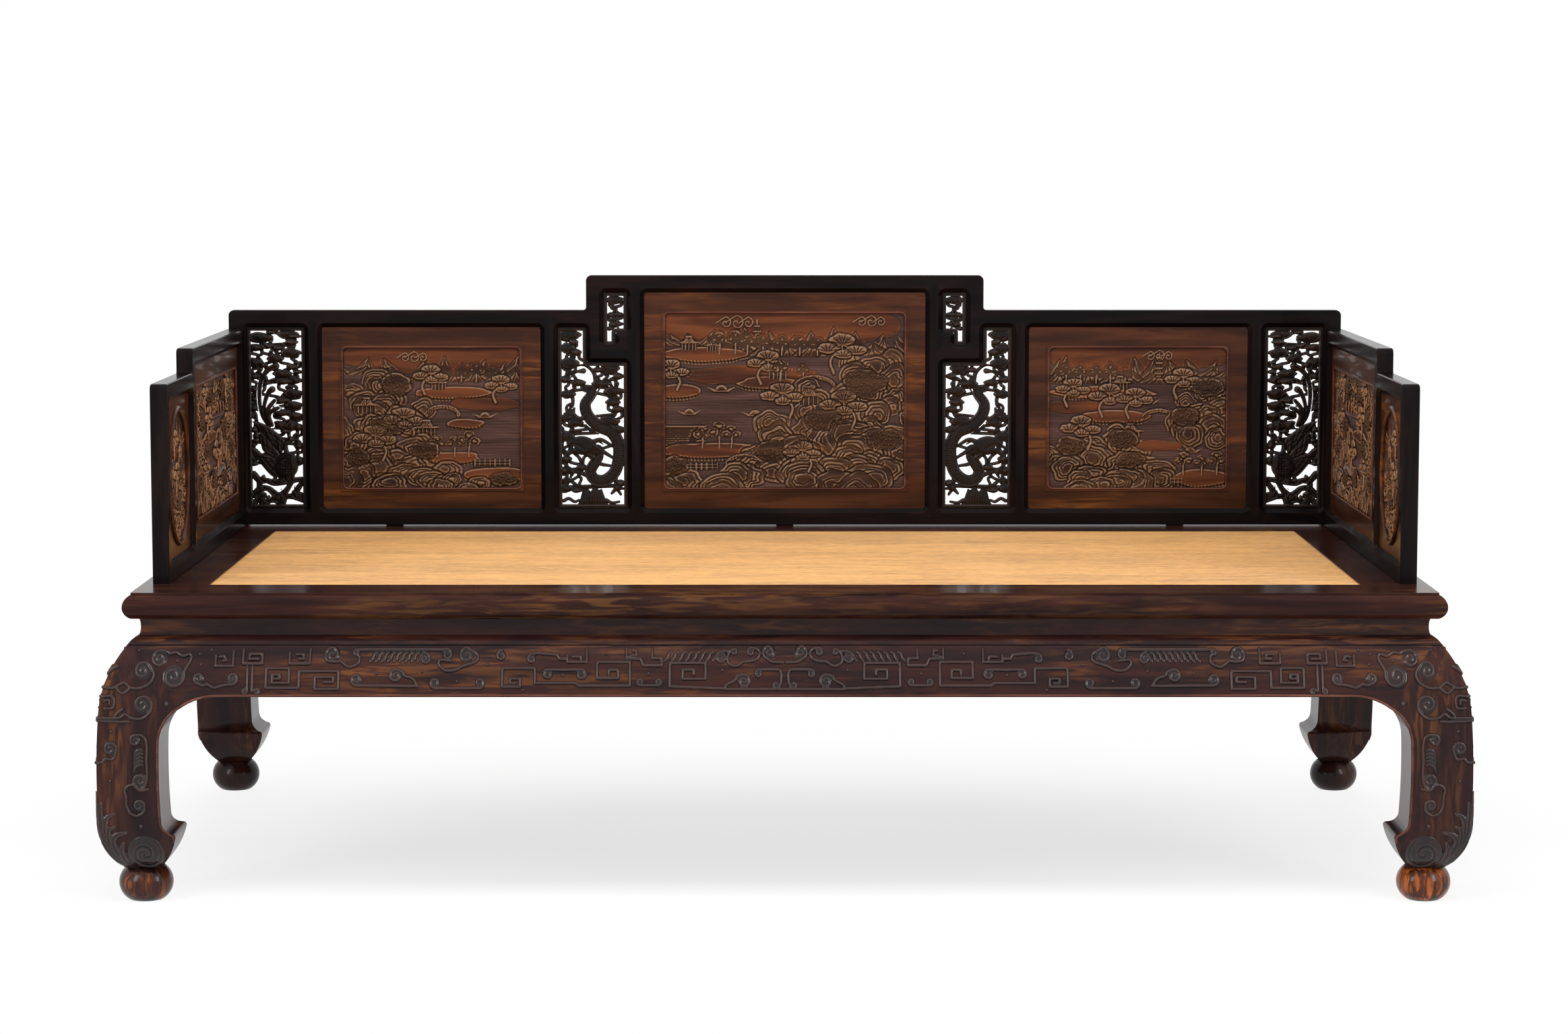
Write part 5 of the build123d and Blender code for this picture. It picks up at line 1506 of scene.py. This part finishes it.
LEFT_VIEW = table("""
plain .5 .94 340 60; hills .72 .81 180 44 6; hills .12 .84 90 30 3; cloud .4 .93 56;
grove .66 .765 120 32 5; crag .17 .66 110 80 6; foliage .3 .74 64 40 70; bank .62 .68 150 22;
hut .54 .7 34; tree .46 .69 58; plain .8 .6 130 24; tree .86 .63 54; crag .3 .5 130 64 6;
hut .13 .53 40; bridge .56 .52 60; ripples .82 .5 110 4; boat .8 .5 46; bank .69 .46 70 18;
crag .12 .34 110 70 6; foliage .24 .44 64 40 76; tree .38 .36 66; hut .47 .37 40; ripples .74 .32 140 5;
boat .66 .33 50; crag .36 .22 130 60 6; bank .62 .215 100 22; grove .62 .23 60 44 3; crag .1 .1 120 70 6;
foliage .46 .27 54 32 56; tree .22 .22 70; crag .42 .06 130 44 6; ripples .72 .14 70 3;
bank .86 .09 120 30; fence .84 .17 66; foliage .9 .06 50 26 44; foliage .08 .22 44 30 44;
crag .66 .02 90 30 4""")
RIGHT_VIEW = table("""
plain .5 .94 340 60; hills .3 .8 190 46 6; hills .86 .83 110 34 4; cloud .62 .94 56; pagoda .62 .79 14 38;
grove .26 .755 110 32 5; bank .3 .68 190 24; hut .4 .7 34; crag .88 .62 100 76 6; tree .72 .66 60;
ripples .6 .6 90 4; boat .56 .6 44; plain .14 .58 110 22; tree .1 .6 56; foliage .9 .72 60 36 64;
bank .38 .51 130 24; tree .3 .53 66; tree .45 .52 60; bridge .62 .49 62; crag .82 .42 120 64 6;
ripples .16 .42 110 4; boat .15 .41 48; foliage .77 .51 56 34 60; hut .46 .34 42; crag .34 .26 130 66 6;
plain .62 .3 90 20; ripples .74 .24 120 4; boat .8 .25 48; foliage .42 .35 60 34 66;
crag .12 .18 120 70 6; tree .22 .3 66; crag .54 .1 140 56 6; foliage .12 .3 56 36 60; bank .86 .07 110 32;
grove .86 .1 60 44 3; crag .3 .04 130 40 6; fence .68 .04 50; foliage .46 .2 54 30 52""")
SIDE_VIEW = table("""
hills .26 .88 220 48 7; hills .78 .9 220 44 7; crag .5 .84 90 56 5; foliage .34 .87 60 34 60;
foliage .66 .88 60 34 60; crag .12 .8 90 60 5; crag .88 .8 90 60 5; tree .24 .8 60; tree .76 .8 60;
plain .5 .72 300 20; hut .5 .74 30; grove .4 .735 70 36 4; grove .62 .73 70 36 3; crag .1 .6 110 74 6;
crag .9 .62 110 74 6; foliage .16 .72 60 32 60; foliage .84 .75 60 30 60; bank .36 .56 150 22;
tree .3 .58 62; hut .4 .58 38; bridge .56 .5 66; ripples .52 .44 110 4; crag .74 .46 130 60 6;
foliage .7 .58 64 34 66; tree .84 .52 62; boat .47 .4 48; crag .2 .36 130 62 6; foliage .26 .47 60 32 64;
hut .61 .31 40; bank .6 .26 130 22; crag .91 .26 120 64 6; tree .53 .29 60; crag .08 .14 120 60 6;
crag .36 .12 130 54 6; foliage .43 .22 56 30 56; tree .24 .2 62; crag .7 .08 150 44 7;
foliage .88 .38 56 30 56; foliage .68 .18 52 26 48; fence .54 .05 60; foliage .1 .25 54 28 52""")
MEDALLION_VIEW = table("""
hills .5 .78 150 40 5; plain .5 .68 120 16; tree .32 .66 52; hut .64 .62 34; crag .26 .5 90 60 5;
foliage .66 .55 54 34 56; bridge .56 .44 54; crag .76 .36 80 60 5; tree .4 .38 58; ripples .52 .33 60 3;
crag .3 .2 100 56 5; foliage .52 .3 54 30 54; crag .62 .1 100 44 5; boat .62 .26 34; foliage .24 .36 40 26 36""")


def box(u: float, v: float, half: float, tall: float) -> list[tuple[float, float]]:
    """Lists the corners of a box that stands on a place."""
    return [(u - half, v), (u + half, v), (u + half, v + tall), (u - half, v + tall)]


class Scenery(Carving):
    """A carved view of rocks, water, trees and huts."""

    def __init__(self, low: Points, high: Points, step: float, seed: int) -> None:
        """Starts with calm water.

        Args:
            low: The view's lower left corner.
            high: Its upper right corner.
            step: The distance between samples.
            seed: What its small differences are drawn from.
        """
        super().__init__(low, high, step, True, 0.7)
        self.low, self.size = np.array(low, float), np.subtract(high, low).astype(float)
        self.random = np.random.default_rng(seed)
        self.draw = self.random.uniform
        self.beads: list[tuple[float, float, float, float]] = []
        self.level = 0.0

    def stone(self, outline: Points, level: float, **shape: float) -> None:
        """Raises an area in the tone of rock."""
        self.area(outline, level, tint=WOOD_ROCK, **shape)

    def rib(self, path: Points, radius: Any, rise: float, lift: float) -> None:
        """Lays a band in the tone of rock."""
        self.stroke(path, radius, rise, lift, tint=WOOD_ROCK)

    def blob(self, u: float, v: float, wide: float, tall: float, rough: float = 0.10) -> np.ndarray:
        """Draws an uneven round outline."""
        t = np.linspace(0, math.tau, 44, endpoint=False)
        size = 1 + sum(self.random.normal(0, rough / k ** 0.7) * np.cos(k * t + self.draw(0, math.tau))
                       for k in range(2, 9))
        return np.stack([u + wide / 2 * size * np.cos(t), v + tall / 2 * size * np.sin(t)], -1)

    def boulder(self, u: float, v: float, wide: float, tall: float) -> None:
        """Carves one rounded rock with folds that run round it."""
        outline = self.blob(u, v, wide, tall)
        self.stone(outline, self.level, rise=1.5, edge=2.2, rings=2.5, moat=1.3)
        lean = self.draw(-0.35, 0.35, 2) * (wide, tall)
        for share in (0.80, 0.60, 0.40):
            ring = outline * share + (np.array([u, v]) + lean * (1 - share)) * (1 - share)
            fold = np.roll(ring, self.random.integers(44), 0)[:self.random.integers(26, 44)]
            self.score(fold, 2.2, 0.95)

    def crag(self, u: float, v: float, wide: float, tall: float, count: int) -> None:
        """Carves a heap of rocks, the nearest ones lowest."""
        for number in range(count):
            down = (number + 0.5) / count
            x = u + wide * (0.36 * math.sin(2.4 * number + u) + self.draw(-0.08, 0.08))
            size = self.draw(0.34, 0.52) * wide
            high = min(size * self.draw(0.75, 1.05), tall * 0.8)
            self.boulder(x, v + tall * (0.42 - 0.8 * down), size, high)
            self.level += 0.07

    def hills(self, u: float, v: float, wide: float, tall: float, count: int) -> None:
        """Carves a far range of folded peaks."""
        for row in (0, 1):
            for x in np.linspace(u - wide / 2, u + wide / 2, count) + self.random.normal(0, 5, count):
                high = tall * self.draw(0.7, 1.1) * (1 - 0.4 * row)
                half = wide / count * self.draw(0.8, 1.1)
                base, top = v - tall * 0.3, x + self.draw(-0.25, 0.25) * half
                self.stone([(x - half, base), (x - 0.6 * half, base + 0.40 * high),
                            (x - 0.3 * half, base + 0.62 * high), (top, base + high),
                            (x + 0.35 * half, base + 0.6 * high), (x + 0.62 * half, base + 0.34 * high),
                            (x + half, base)], self.level, rise=0.9, rings=1.5, moat=1.0)
                for side in (-0.5, -0.1, 0.4):
                    self.score(curve([(top, base + 0.9 * high), (top + 0.4 * side * half, base + 0.5 * high),
                                      (x + 1.2 * side * half, base)]), 1.9, 0.8)

    def plain(self, u: float, v: float, wide: float, tall: float) -> None:
        """Carves a smooth shore."""
        t = np.linspace(0, math.tau, 40, endpoint=False)
        outline = np.stack([u + wide / 2 * np.sign(np.cos(t)) * np.abs(np.cos(t)) ** 0.6,
                            v + tall / 2 * np.sin(t) * (1 + 0.15 * np.sin(5 * t + u))], -1)
        self.area(outline, 0.9, rise=0.2, edge=1.6, tint=PLAIN, moat=0.4)

    def ripples(self, u: float, v: float, wide: float, count: int) -> None:
        """Cuts long ripples into the water."""
        for row in range(count):
            x, z = u + self.draw(-0.1, 0.1) * wide, v - 6.0 * row
            half = wide / 2 * self.draw(0.6, 1.0)
            self.score(curve([(x - half, z), (x - 0.3 * half, z + 2.2), (x + 0.3 * half, z - 1.6),
                              (x + half, z + 1.2)]), 2.0, 0.35)

    def bank(self, u: float, v: float, wide: float, tall: float) -> None:
        """Carves a low bank with a ragged rock face under it."""
        outline = self.blob(u, v, wide, tall, 0.07)
        self.stone(outline - (0, 0.22 * tall), 1.2, rise=0.5, moat=0.9)
        self.area(outline, 1.9, rise=0.3, tint=PLAIN, moat=0.4)
        for x in np.arange(u - 0.42 * wide, u + 0.42 * wide, 6.5):
            depth = math.sqrt(max(0.0, 1 - ((x - u) / (0.5 * wide)) ** 2)) * tall / 2
            self.score([(x, v - depth + 1), (x + 1.5, v - depth - 0.2 * tall)], 1.8, 0.8)

    def foliage(self, u: float, v: float, wide: float, tall: float, count: int) -> None:
        """Scatters round beads of leaves over a soft mound."""
        self.stone(self.blob(u, v, wide * 0.95, tall * 0.95), 2.0, rise=0.8, edge=2.2, moat=0.8)
        for _ in range(count):
            angle, reach = self.draw(0, math.tau), math.sqrt(self.draw(0, 1))
            x, z = u + wide / 2 * reach * math.cos(angle), v + tall / 2 * reach * math.sin(angle)
            self.beads.append((x, z, 2.4 + 0.9 * (1 - reach), self.draw(1.7, 2.7)))

    def tree(self, u: float, v: float, tall: float) -> None:
        """Carves a pine: a bent trunk with flat, fanned crowns."""
        lean = self.random.choice((-1.0, 1.0)) * 0.20 * tall
        top = (u + lean, v + 0.60 * tall)
        self.rib(curve([(u, v - 0.1 * tall), (u - 0.4 * lean, v + 0.2 * tall), top]), (2.6, 2.0, 1.4), 1.7, 1.9)
        for dx, dy, share in ((0.0, 0.70, 0.62), (-0.34, 0.50, 0.50), (0.34, 0.46, 0.48), (0.02, 0.36, 0.42)):
            x, z, wide = u + lean + dx * tall, v + dy * tall, share * tall
            self.rib([top, (x, z - 0.1 * wide)], 1.3, 1.4, 1.9)
            self.stone(self.blob(x, z, wide, wide * 0.5, 0.06), 2.6, rise=0.8, edge=1.7, rings=1.0, moat=1.0)
            for spoke in np.linspace(0.2, math.pi - 0.2, 6):
                root = z - wide * 0.12
                self.score([(x + 0.1 * wide * math.cos(spoke), root),
                            (x + wide * 0.46 * math.cos(spoke), root + wide * 0.34 * math.sin(spoke))], 1.5, 0.7)

    def grove(self, u: float, v: float, wide: float, tall: float, count: int) -> None:
        """Carves a row of small round trees."""
        for x in np.linspace(u - wide / 2, u + wide / 2, count) + self.random.normal(0, 2, count):
            high = tall * self.draw(0.8, 1.1)
            self.rib([(x, v - 2), (x + 1, v + 0.5 * high)], (1.8, 1.3), 1.4, 1.6)
            for dx, dy, share in ((0.0, 0.78, 0.5), (-0.24, 0.58, 0.42), (0.24, 0.56, 0.42)):
                self.boulder(x + dx * high, v + dy * high, share * high, share * 0.8 * high)

    def hut(self, u: float, v: float, wide: float) -> None:
        """Carves a pavilion: posts, walls and a roof with lifted eaves."""
        tall = 0.42 * wide
        self.stone(box(u, v, 0.40 * wide, tall), 1.4, edge=1.4)
        for x in np.linspace(u - 0.38 * wide, u + 0.38 * wide, 5):
            self.stroke([(x, v), (x, v + tall)], 0.9, 1.1, 1.5)
        roof = ((-0.62, 0.98), (-0.30, 1.12), (-0.12, 1.7), (0.12, 1.7), (0.30, 1.12), (0.62, 0.98), (0.3, 0.86),
                (-0.3, 0.86))
        self.stone(np.array(roof) * (wide, tall) + (u, v), 2.8, rise=0.6, edge=1.3, rings=1.0, pitch=3.0)
        for x in np.linspace(-0.45, 0.45, 9):
            self.groove([(u + x * wide, v + 0.92 * tall), (u + 0.3 * x * wide, v + 1.6 * tall)], 0.45, 0.6, 3.0)
        self.stroke([(u - 0.15 * wide, v + 1.75 * tall), (u + 0.15 * wide, v + 1.75 * tall)], 1.1, 1.0, 2.8)

    def pagoda(self, u: float, v: float, wide: float, tall: float) -> None:
        """Carves a small tower of stacked roofs."""
        for row in range(4):
            half, z = wide * (0.5 - 0.08 * row), v + tall * row / 4
            self.stone(box(u, z, 0.6 * half, tall / 4), 1.8, edge=1.2)
            self.stroke([(u - half, z + tall / 5), (u + half, z + tall / 5)], 1.4, 1.0, 2.0)
        self.stroke([(u, v + tall), (u, v + tall * 1.2)], 0.9, 1.2, 1.6)

    def bridge(self, u: float, v: float, wide: float) -> None:
        """Carves an arched bridge with a hatched deck."""
        t = np.linspace(0, math.pi, 17)
        deck = np.stack([u - wide / 2 * np.cos(t), v + 0.26 * wide * np.sin(t)], -1)
        self.rib(deck, 3.4, 1.2, 1.4)
        self.stroke(deck + (0, 2.6), 1.1, 1.4, 2.0)
        for x, z in deck[1:-1]:
            self.groove([(x, z - 2.8), (x, z + 1.8)], 0.45, 0.7, 2.4)

    def boat(self, u: float, v: float, wide: float) -> None:
        """Carves a boat with a mat roof among ripples."""
        hull = ((-0.5, 0.16), (-0.25, 0), (0.25, 0), (0.5, 0.18), (0.2, 0.09), (-0.2, 0.09))
        self.stone(np.array(hull) * wide + (u, v), 2.0, edge=1.3)
        t = np.linspace(0, math.pi, 9)
        roof = np.stack([u + 0.2 * wide * np.cos(t), v + 0.07 * wide + 0.17 * wide * np.sin(t)], -1)
        self.stone(roof, 2.0, rise=0.5, edge=1.2, rings=1.0, pitch=2.0)
        for row in (0.08, 0.2, 0.32):
            self.stroke(curve([(u - 0.6 * wide, v - row * wide), (u, v - (row + 0.06) * wide),
                               (u + 0.6 * wide, v - row * wide)]), 0.8, 0.5, 0.0)

    def cloud(self, u: float, v: float, wide: float) -> None:
        """Carves a curling bank of cloud."""
        for dx, size in ((-0.3, 0.16), (0.0, 0.20), (0.3, 0.15)):
            x = u + dx * wide
            self.rib(scroll([(x - 1.6 * size * wide, v), (x, v + size * wide)], (x, v), -1.2), 1.3, 1.4, 0.9)

    def wall(self, u: float, v: float, wide: float, tall: float) -> None:
        """Carves a brick wall with an arched gate."""
        left, right = u - wide / 2, u + wide / 2
        self.stone(box(u, v, wide / 2, tall), 1.6, edge=1.3)
        for row, z in enumerate(np.arange(v + 4, v + tall, 4)):
            self.groove([(left, z), (right - 1, z)], 0.45, 0.6, 1.6)
            for x in np.arange(left + 4 * (row % 2), right - 2, 8):
                self.groove([(x, z), (x, z - 4)], 0.45, 0.5, 1.6)
        t = np.linspace(0, math.pi, 9)
        gate = np.vstack([np.stack([u + 18 + 7 * np.cos(t), v + 12 + 7 * np.sin(t)], -1), [(u + 11, v), (u + 25, v)]])
        self.area(gate, 0.5, edge=1.2)
        self.stroke([(left, v + tall + 1), (right, v + tall + 1)], 1.6, 1.4, 1.4)

    def fence(self, u: float, v: float, wide: float) -> None:
        """Carves a low fence of posts and rails."""
        left, right = u - wide / 2, u + wide / 2
        for z in (v, v + 6):
            self.rib([(left, z), (right, z)], 0.8, 1.2, 1.8)
        for x in np.linspace(left, right, 8):
            self.rib([(x, v - 4), (x, v + 9)], 1.0, 1.4, 1.8)

    def carve(self, view: Any) -> None:
        """Carves a whole view.

        Args:
            view: Its features, far ones first.
        """
        for number, (kind, x, y, *sizes) in enumerate(view):
            self.level = 1.0 + 1.1 * number / len(view)
            getattr(self, kind)(*(self.low + (x, y) * self.size), *sizes)
        self.height = np.clip(self.height, 0.4, 4.6)


@dataclass(frozen=True)
class LandscapeBoard:
    """A board's carved view, which lies in its sunk field."""

    name: str
    body: str
    view: Any
    low: tuple[float, float]
    high: tuple[float, float]
    seed: int
    axis: int = 1
    ground: float = 499.0
    sign: float = -1
    oval: bool = False
    step: float = 1.4
    gain: float = 1.0

    def build(self, tree: Tree) -> None:
        """Carves the board's view and its beads of leaves.

        Args:
            tree: The bead tree.
        """
        sheet = Scenery(self.low, self.high, self.step, self.seed)
        sheet.carve(self.view)
        sheet.height *= self.gain
        beads = np.array(sheet.beads) * (1, 1, self.gain, 1)
        middle, half = np.add(self.low, self.high) / 2, np.subtract(self.high, self.low) / 2
        if self.oval:
            away = np.hypot((sheet.u[None, :] - middle[0]) / half[0], (sheet.v[:, None] - middle[1]) / half[1])
            sheet.wood = (1 - away) * half.min()
            inside = np.hypot(*((beads[:, :2] - middle) / half).T) < 0.93
        else:
            inside = (np.abs(beads[:, :2] - middle) < half - 3).all(1)
        place = flat_face(self.axis, self.ground, self.sign)
        view, leaves = (bpy.data.materials[("carved ", "carved side ")[self.axis == 0] + kind]
                        for kind in ("landscape", "leaves"))
        panel = shell(self.name, sheet, place, -0.8, flip=(self.sign > 0) == (self.axis == 1))
        mount(panel, self.body, view)
        rows = beads[inside]
        points = mesh_of(self.name + "_places", place(*rows[:, :3].T) * MM, [], size=rows[:, 3] * MM)
        mount(grown(points, self.name + "_leaves", tree, Flatness=0.8, Material=leaves), self.body)


CENTRE = LandscapeBoard("centre_landscape", "rear_railing", CENTRE_VIEW, (-224.5, 576.3), (224.5, 905.0), 11)
LEFT_SIDE = LandscapeBoard("left_side_landscape", "left_railing", SIDE_VIEW, (-65.0, 576.3), (416.7, 806.0), 14, 0,
                           -1024.5, 1, step=1.7, gain=1.4)
LEFT_OVAL = LandscapeBoard("left_medallion_carving", "left_railing", MEDALLION_VIEW, (-351.0, 561.15),
                           (-169.0, 779.15), 15, 0, -1024.5, 1, True, 1.6, 1.25)
LANDSCAPES = (
    CENTRE,
    replace(CENTRE, name="left_wing_landscape", view=LEFT_VIEW, low=(-829, 576.3), high=(-497, 840.0), seed=12),
    replace(CENTRE, name="right_wing_landscape", view=RIGHT_VIEW, low=(497, 576.3), high=(829, 840.0), seed=13),
    LEFT_SIDE,
    replace(LEFT_SIDE, name="right_side_landscape", body="right_railing", ground=1024.5, sign=-1),
    LEFT_OVAL,
    replace(LEFT_OVAL, name="right_medallion_carving", body="right_railing", ground=1024.5, sign=-1),
)


# ---- the studio


@dataclass(frozen=True)
class Studio:
    """The floor, the lamps and the camera."""

    lens: float = 87.84
    eye: tuple[float, float, float] = (-0.0014, -6.674, 1.272)
    pitch: float = 5.98
    floor_half: float = 14.0

    def camera(self) -> None:
        """Places the camera."""
        data = bpy.data.cameras.new("studio camera")
        data.lens, data.sensor_width, data.clip_end = self.lens, 36.0, 60.0
        camera = bpy.data.objects.new("studio_camera", data)
        camera.location = self.eye
        camera.rotation_euler = (math.radians(90.0 - self.pitch), 0.0, 0.0)
        bpy.context.collection.objects.link(camera)
        bpy.context.scene.camera = camera

    def lamp(self, name: str, place: Points, aim: Points, size: tuple[float, float], power: float,
             mirrored: bool) -> None:
        """Hangs one soft lamp.

        Args:
            name: The lamp's name.
            place: Where it hangs.
            aim: The point that it faces.
            size: Its width and height.
            power: Its power in watts.
            mirrored: Whether polished wood shows its image.
        """
        data = bpy.data.lights.new(name, "AREA")
        data.shape = "RECTANGLE"
        data.size, data.size_y = size
        data.energy = power
        lamp = bpy.data.objects.new(name, data)
        lamp.location = place
        lamp.visible_glossy = mirrored
        lamp.rotation_mode = "QUATERNION"
        lamp.rotation_quaternion = (Vector(aim) - Vector(place)).to_track_quat("-Z", "Y")
        bpy.context.collection.objects.link(lamp)

    def seen(self, graph: Graph) -> Socket:
        """Finds the rays that show the white room: those of the camera, of mirrors and of glass."""
        path = graph.add("ShaderNodeLightPath").outputs
        rays = graph.maths("MAXIMUM", path["Is Camera Ray"], path["Is Glossy Ray"])
        return graph.maths("MAXIMUM", rays, path["Is Transmission Ray"])

    def floor(self) -> None:
        """Lays the pale floor, which shades to white away from the daybed."""
        half = self.floor_half
        floor = mesh_of("studio_floor", np.array([(-half, -half, 0), (half, -half, 0), (half, half, 0),
                                                  (-half, half, 0)]), [[0, 1, 2, 3]])
        material, graph, shader = new_material("pale floor", Base_Color=(0.86, 0.86, 0.87, 1.0), Roughness=0.7,
                                               Specular_IOR_Level=0.2)
        away = graph.add("ShaderNodeVectorMath", {0: graph.stretch(graph.place(), (0.62, 1.0, 1.0))},
                         operation="LENGTH").outputs["Value"]
        share = graph.times(graph.spread(away, 0.25, 1.30, 0.70, 1.0), self.seen(graph))
        glow = graph.add("ShaderNodeEmission", {"Color": WHITE, "Strength": 1.0}).outputs[0]
        nodes = material.node_tree.nodes
        mixed = graph.add("ShaderNodeMixShader", {0: share, 1: nodes["Principled BSDF"].outputs[0], 2: glow}).outputs[0]
        graph.feed(nodes["Material Output"].inputs, {0: mixed})
        floor.data.materials.append(material)

    def world(self) -> None:
        """Fills the room with light that comes mostly from above."""
        world = bpy.data.worlds.new("studio")
        world.use_nodes = True
        bpy.context.scene.world = world
        graph = Graph(world.node_tree)
        way = graph.add("ShaderNodeTexCoord").outputs["Generated"]
        rise = graph.add("ShaderNodeSeparateXYZ", {0: way}).outputs[2]
        glow = graph.spread(rise, 0.1, 0.95, 0.06, 0.85)
        room = graph.add("ShaderNodeBackground", {"Color": (1.0, 0.98, 0.95), "Strength": glow}).outputs[0]
        white = graph.add("ShaderNodeBackground", {"Color": WHITE, "Strength": 1.0}).outputs[0]
        mixed = graph.add("ShaderNodeMixShader", {0: self.seen(graph), 1: room, 2: white}).outputs[0]
        graph.feed(world.node_tree.nodes["World Output"].inputs, {0: mixed})

    def build(self) -> None:
        """Sets up the whole studio."""
        bpy.context.scene.view_settings.view_transform = "Standard"
        self.camera()
        self.world()
        self.floor()
        self.lamp("overhead_lamp", (0.0, -1.7, 3.3), (0.0, 0.0, 0.4), (3.6, 1.2), 120.0, False)
        self.lamp("left_lamp", (-3.2, -3.0, 1.9), (-0.3, 0.0, 0.45), (1.0, 2.2), 56.0, True)
        self.lamp("right_lamp", (3.2, -3.0, 1.9), (0.3, 0.0, 0.45), (1.0, 2.2), 56.0, True)
        self.lamp("rear_lamp", (0.0, 4.4, 2.2), (0.0, 0.4, 0.5), (3.6, 1.6), 90.0, False)


def dress_nodes() -> None:
    """Gives every CAD node its wood."""
    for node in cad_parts:
        side = Grain.ALONG_Y if "railing" in node else Grain.ALONG_X
        if "openwork" in node:
            finish, grain = OPENWORK_WOOD, Grain.ALONG_Z
        elif "panel" in node:
            finish, grain = PANEL_WOOD, side
        elif node.startswith("rear_") or "railing" in node:
            finish, grain = RAILING_WOOD, Grain.ALONG_Z if "stile" in node else side
        elif node.startswith("ball"):
            finish, grain = BASE_WOOD if "rear" in node else FOOT_WOOD, Grain.ALONG_Z
        elif node.startswith("leg"):
            finish, grain = BASE_WOOD, Grain.ALONG_Z
        elif node.startswith(("seat", "mat_press")):
            finish, grain = SEAT_WOOD, Grain.ALONG_X
        elif node == "mat_braces":
            finish, grain = BRACE_WOOD, Grain.ALONG_Y
        else:
            finish, grain = BASE_WOOD, Grain.ALONG_X
        cover(node, finish.material(grain))


def main() -> None:
    """Builds the daybed's looks piece by piece."""
    logging.basicConfig(level=logging.INFO, format="%(message)s")
    build_hardwood_grain()
    build_edge_wear()
    build_weave()
    Studio().build()
    CaneMat().build()
    BaseCarving().build()
    build_openworks()
    # The side views' crests take a brighter colour at a larger share than the back's: more painted highlight.
    for side, grain, finish in (("", Grain.ALONG_X, LandscapeFinish((0.34, 0.20, 0.12), 0.55)),
                                ("side ", Grain.ALONG_Y, LandscapeFinish((0.37, 0.20, 0.11), 0.85))):
        for kind in ("landscape", "leaves"):
            finish.material(f"carved {side}{kind}", kind == "leaves", grain)
    beads = build_bead_tree()
    for board in LANDSCAPES:
        board.build(beads)
    EdgeBeads(build_moulding_tree()).build()
    dress_nodes()


if __name__ == "__main__":
    main()
